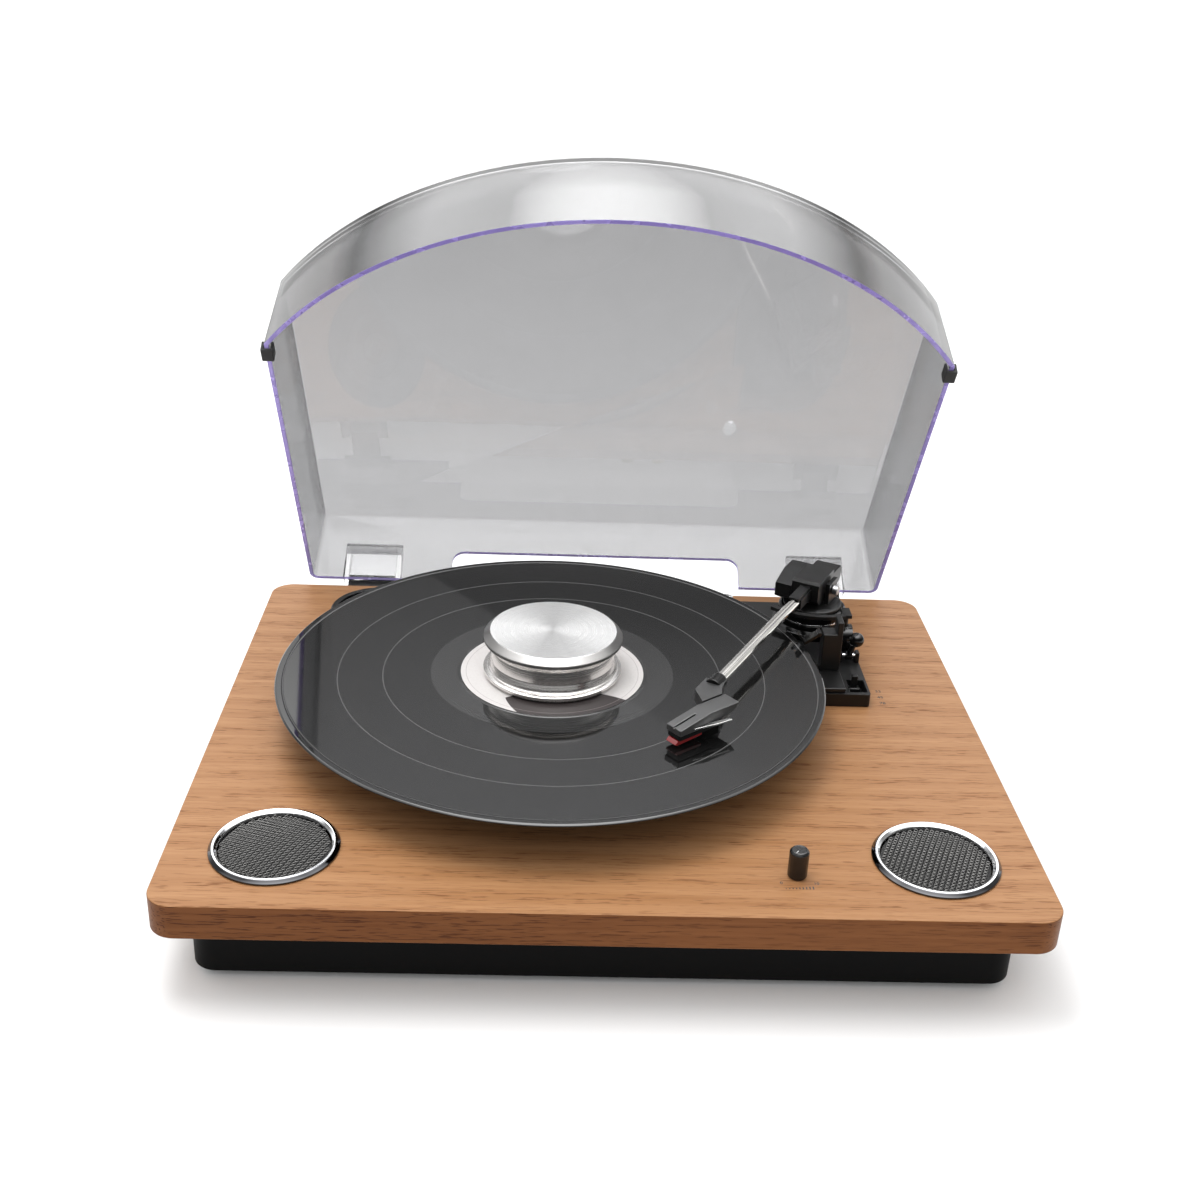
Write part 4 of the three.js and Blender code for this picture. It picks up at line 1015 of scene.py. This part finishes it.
lid_joint = next(joint for joint in frame["joints"] if joint["name"] == "lid_hinge")
lid_turn = Matrix.Rotation(math.radians(lid_joint["range_deg"][0]), 4, "X")
lid_place = Matrix.Translation(lid_joint["pos_m"]) @ lid_turn
LID_REAR, LID_RIM, LID_HALF_W, LID_SIDE, LID_DEPTH = -3.5, 27.2, 191.3, 222.0, 318.0
LID_H, LID_WALL, LID_DRAFT, LID_EDGE_R = 52.7, 2.6, 3.2, 1.8
LID_TOP = LID_RIM + LID_H
NOTCH_HALF_W, NOTCH_H, NOTCH_CORNER_R = 97.0, 23.0, 8.0
POCKET_HALF_W, POCKET_WALL, POCKET_OUT, POCKET_H = 19.2, 3.4, 5.5, 29.0


def smoked(name, clearness):
    """Clear acrylic with a grey tint and a faint haze of handling marks."""
    material, shader = finish(name, clearness, 0.015, IOR=1.49, Transmission_Weight=1.0)
    tree = material.node_tree
    marks = noise(tree, object_place(tree), 60.0, 3.0)[0]
    darker, lighter = ((clearness + off, clearness + off, clearness + off + 0.005, 1.0)
                       for off in (-0.01, 0.01))
    tree.links.new(span(tree, marks, 0.3, 0.7, 0.0, 0.03), shader.inputs["Roughness"])
    tree.links.new(blend(tree, marks, darker, lighter), shader.inputs["Base Color"])
    return material


def rounded_top(half, top, corner):
    """The two rounded upper corners of a shape that is twice half wide, from right to left."""
    points = []
    for side, first in ((1, 0.0), (-1, math.pi / 2)):
        for step in range(9):
            angle = first + (math.pi / 2) * step / 8
            points.append((side * (half - corner) + corner * math.cos(angle),
                           top - corner + corner * math.sin(angle)))
    return points


def lid_loop(inset, height):
    """The cover's plan at one height: a long arc in front and rounded rear corners."""
    bulge = LID_DEPTH - LID_SIDE
    sweep = (LID_HALF_W ** 2 + bulge ** 2) / (2 * bulge)
    centre_y = LID_REAR - LID_DEPTH + sweep
    wide, reach = LID_HALF_W - inset, sweep - inset
    half = math.asin(wide / reach)
    turns = (-math.pi / 2 - half + 2 * half * step / 64 for step in range(65))
    points = [(reach * math.cos(turn), centre_y + reach * math.sin(turn)) for turn in turns]
    points += rounded_top(wide, LID_REAR - inset, 6.0 - inset)
    rise = (height - LID_RIM) / LID_H
    middle = LID_REAR - LID_DEPTH / 2
    narrow = 1 - rise * LID_DRAFT / LID_HALF_W
    short = 1 - 2 * rise * LID_DRAFT / LID_DEPTH
    return [Vector((x * narrow, middle + (y - middle) * short, height)) / 1000
            for x, y in points]


def edge_arc(inset, top, radius, steps):
    """Insets and heights round the edge where a wall turns into the top."""
    turns = (math.pi / 2 * step / (steps - 1) for step in range(steps))
    return [(inset + radius * (1 - math.cos(turn)), top - radius * (1 - math.sin(turn)))
            for turn in turns]


def lid_form():
    """Walls and top as nested loops, from the top's outside down to the rim and back up."""
    half_way = LID_RIM + LID_H / 2
    outer = [(0.0, LID_RIM + 0.3), (0.0, half_way), *edge_arc(0.0, LID_TOP, LID_EDGE_R, 7)]
    inner = [(LID_WALL, LID_RIM + 0.3), (LID_WALL, half_way),
             *edge_arc(LID_WALL, LID_TOP - LID_WALL, 0.8, 4)]
    path = [*reversed(outer), (0.3, LID_RIM), (LID_WALL - 0.3, LID_RIM), *inner]
    form = bmesh.new()
    loops = [[form.verts.new(point) for point in lid_loop(*spot)] for spot in path]
    rim_from = len(outer) - 1
    for index, (first, second) in enumerate(zip(loops, loops[1:])):
        for turn in range(len(first)):
            after = (turn + 1) % len(first)
            face = form.faces.new((first[turn], first[after], second[after], second[turn]))
            face.material_index = 1 if rim_from <= index <= rim_from + 2 else 0
    form.faces.new(loops[0])
    form.faces.new(loops[-1])
    bmesh.ops.recalc_face_normals(form, faces=form.faces)
    return form


def block_form(x, half, y0, y1, top, foot, edge):
    """A block with eased edges, wide about x and standing from a foot up to a top."""
    form = bmesh.new()
    bmesh.ops.create_cube(form, size=1.0)
    for vert in form.verts:
        spot = vert.co
        vert.co = Vector((x + spot.x * 2 * half, (y0 + y1) / 2 + spot.y * (y1 - y0),
                          (foot + top) / 2 + spot.z * (top - foot))) / 1000
    bmesh.ops.bevel(form, geom=form.edges[:], offset=edge / 1000, segments=3, profile=0.5,
                    affect="EDGES")
    return form


def combine(form, operation):
    """Cuts a tool out of the cover or joins it on, exactly."""
    tool = piece_from(form, "cover_tool", acrylic, edge_painted_glow)
    modifier = lid_shell.modifiers.new("combine", "BOOLEAN")
    modifier.operation = operation
    modifier.solver = "EXACT"
    modifier.object = tool
    bpy.context.view_layer.update()
    mesh = bpy.data.meshes.new_from_object(
        lid_shell.evaluated_get(bpy.context.evaluated_depsgraph_get()))
    lid_shell.modifiers.remove(modifier)
    lid_shell.data = mesh
    bpy.data.objects.remove(tool)


def notch_form():
    """A prism that cuts the cable notch out of the rear wall, rounded in its upper corners."""
    corners = [(-NOTCH_HALF_W, -3.0), (NOTCH_HALF_W, -3.0),
               *rounded_top(NOTCH_HALF_W, NOTCH_H, NOTCH_CORNER_R)]
    form = prism([(x, LID_REAR + 4, LID_RIM + z) for x, z in corners],
                 [(x, LID_REAR - 12, LID_RIM + z) for x, z in corners])
    for face in form.faces:
        face.material_index = 1
    return form


acrylic = smoked("smoke_acrylic", 0.36)
# The side walls take a darker tint than the rest of the same moulding: painted shade.
acrylic_side_painted_shade = smoked("smoke_acrylic_side_painted_shade", 0.23)
acrylic_socket = smoked("clear_acrylic_socket", 0.88)
# The rim and cut faces are a bright violet that paints the light piped along the acrylic: a painted
# glow.
edge_painted_glow = grained("acrylic_edge_painted_glow", (0.34, 0.26, 0.72), 0.25, spread=0.1, grain=300.0,
                   depth=0.00001, mottle=90.0, IOR=1.49, Transmission_Weight=0.35)
lid_shell = piece_from(lid_form(), "clear_cover", acrylic, edge_painted_glow)
combine(notch_form(), "DIFFERENCE")
HINGE_X = measured("hinge_leaf_right")[0]
for x in (-HINGE_X, HINGE_X):
    rear, top = LID_REAR + POCKET_OUT, LID_RIM + POCKET_H
    combine(block_form(x, POCKET_HALF_W, LID_REAR - 1.2, rear, top, LID_RIM, 0.9), "UNION")
    combine(block_form(x, POCKET_HALF_W - POCKET_WALL, LID_REAR + 0.4, rear - 1.6, top - 4,
                       LID_RIM - 2, 0.4), "DIFFERENCE")
lid_shell.data.materials.append(acrylic_side_painted_shade)
lid_shell.data.materials.append(acrylic_socket)
for face in lid_shell.data.polygons:
    # Side walls take the darker copy of the acrylic as painted shade; faces behind the rear wall
    # take the clear socket acrylic.
    if face.material_index == 0 and abs(face.normal.x) > 0.9 and abs(face.center.x) > 0.18:
        face.material_index = 2
    elif face.material_index == 0 and face.center.y * 1000 > LID_REAR + 0.3:
        face.material_index = 3
lid_shell.data.transform(lid_place)
lid_shell.data.shade_smooth()
lid_shell.data.set_sharp_from_angle(angle=math.radians(30))
lid_shell.visible_shadow = False
settle(lid_shell, "dust_cover", "clear_acrylic", "lid_shell")

for side in ("left", "right"):
    ease_all(
        (f"lid_bumper_{side}", f"rim_bumper_{side}", 0.7, foot_rubber, "dust_cover", "rubber"),
        (f"hinge_leaf_{side}", f"cover_leaf_{side}", 0.5, satin_black, "dust_cover",
         "satin_black"),
        (f"hinge_base_{side}", f"hinge_knuckle_{side}", 0.4, satin_black, "base",
         "satin_black"),
    )
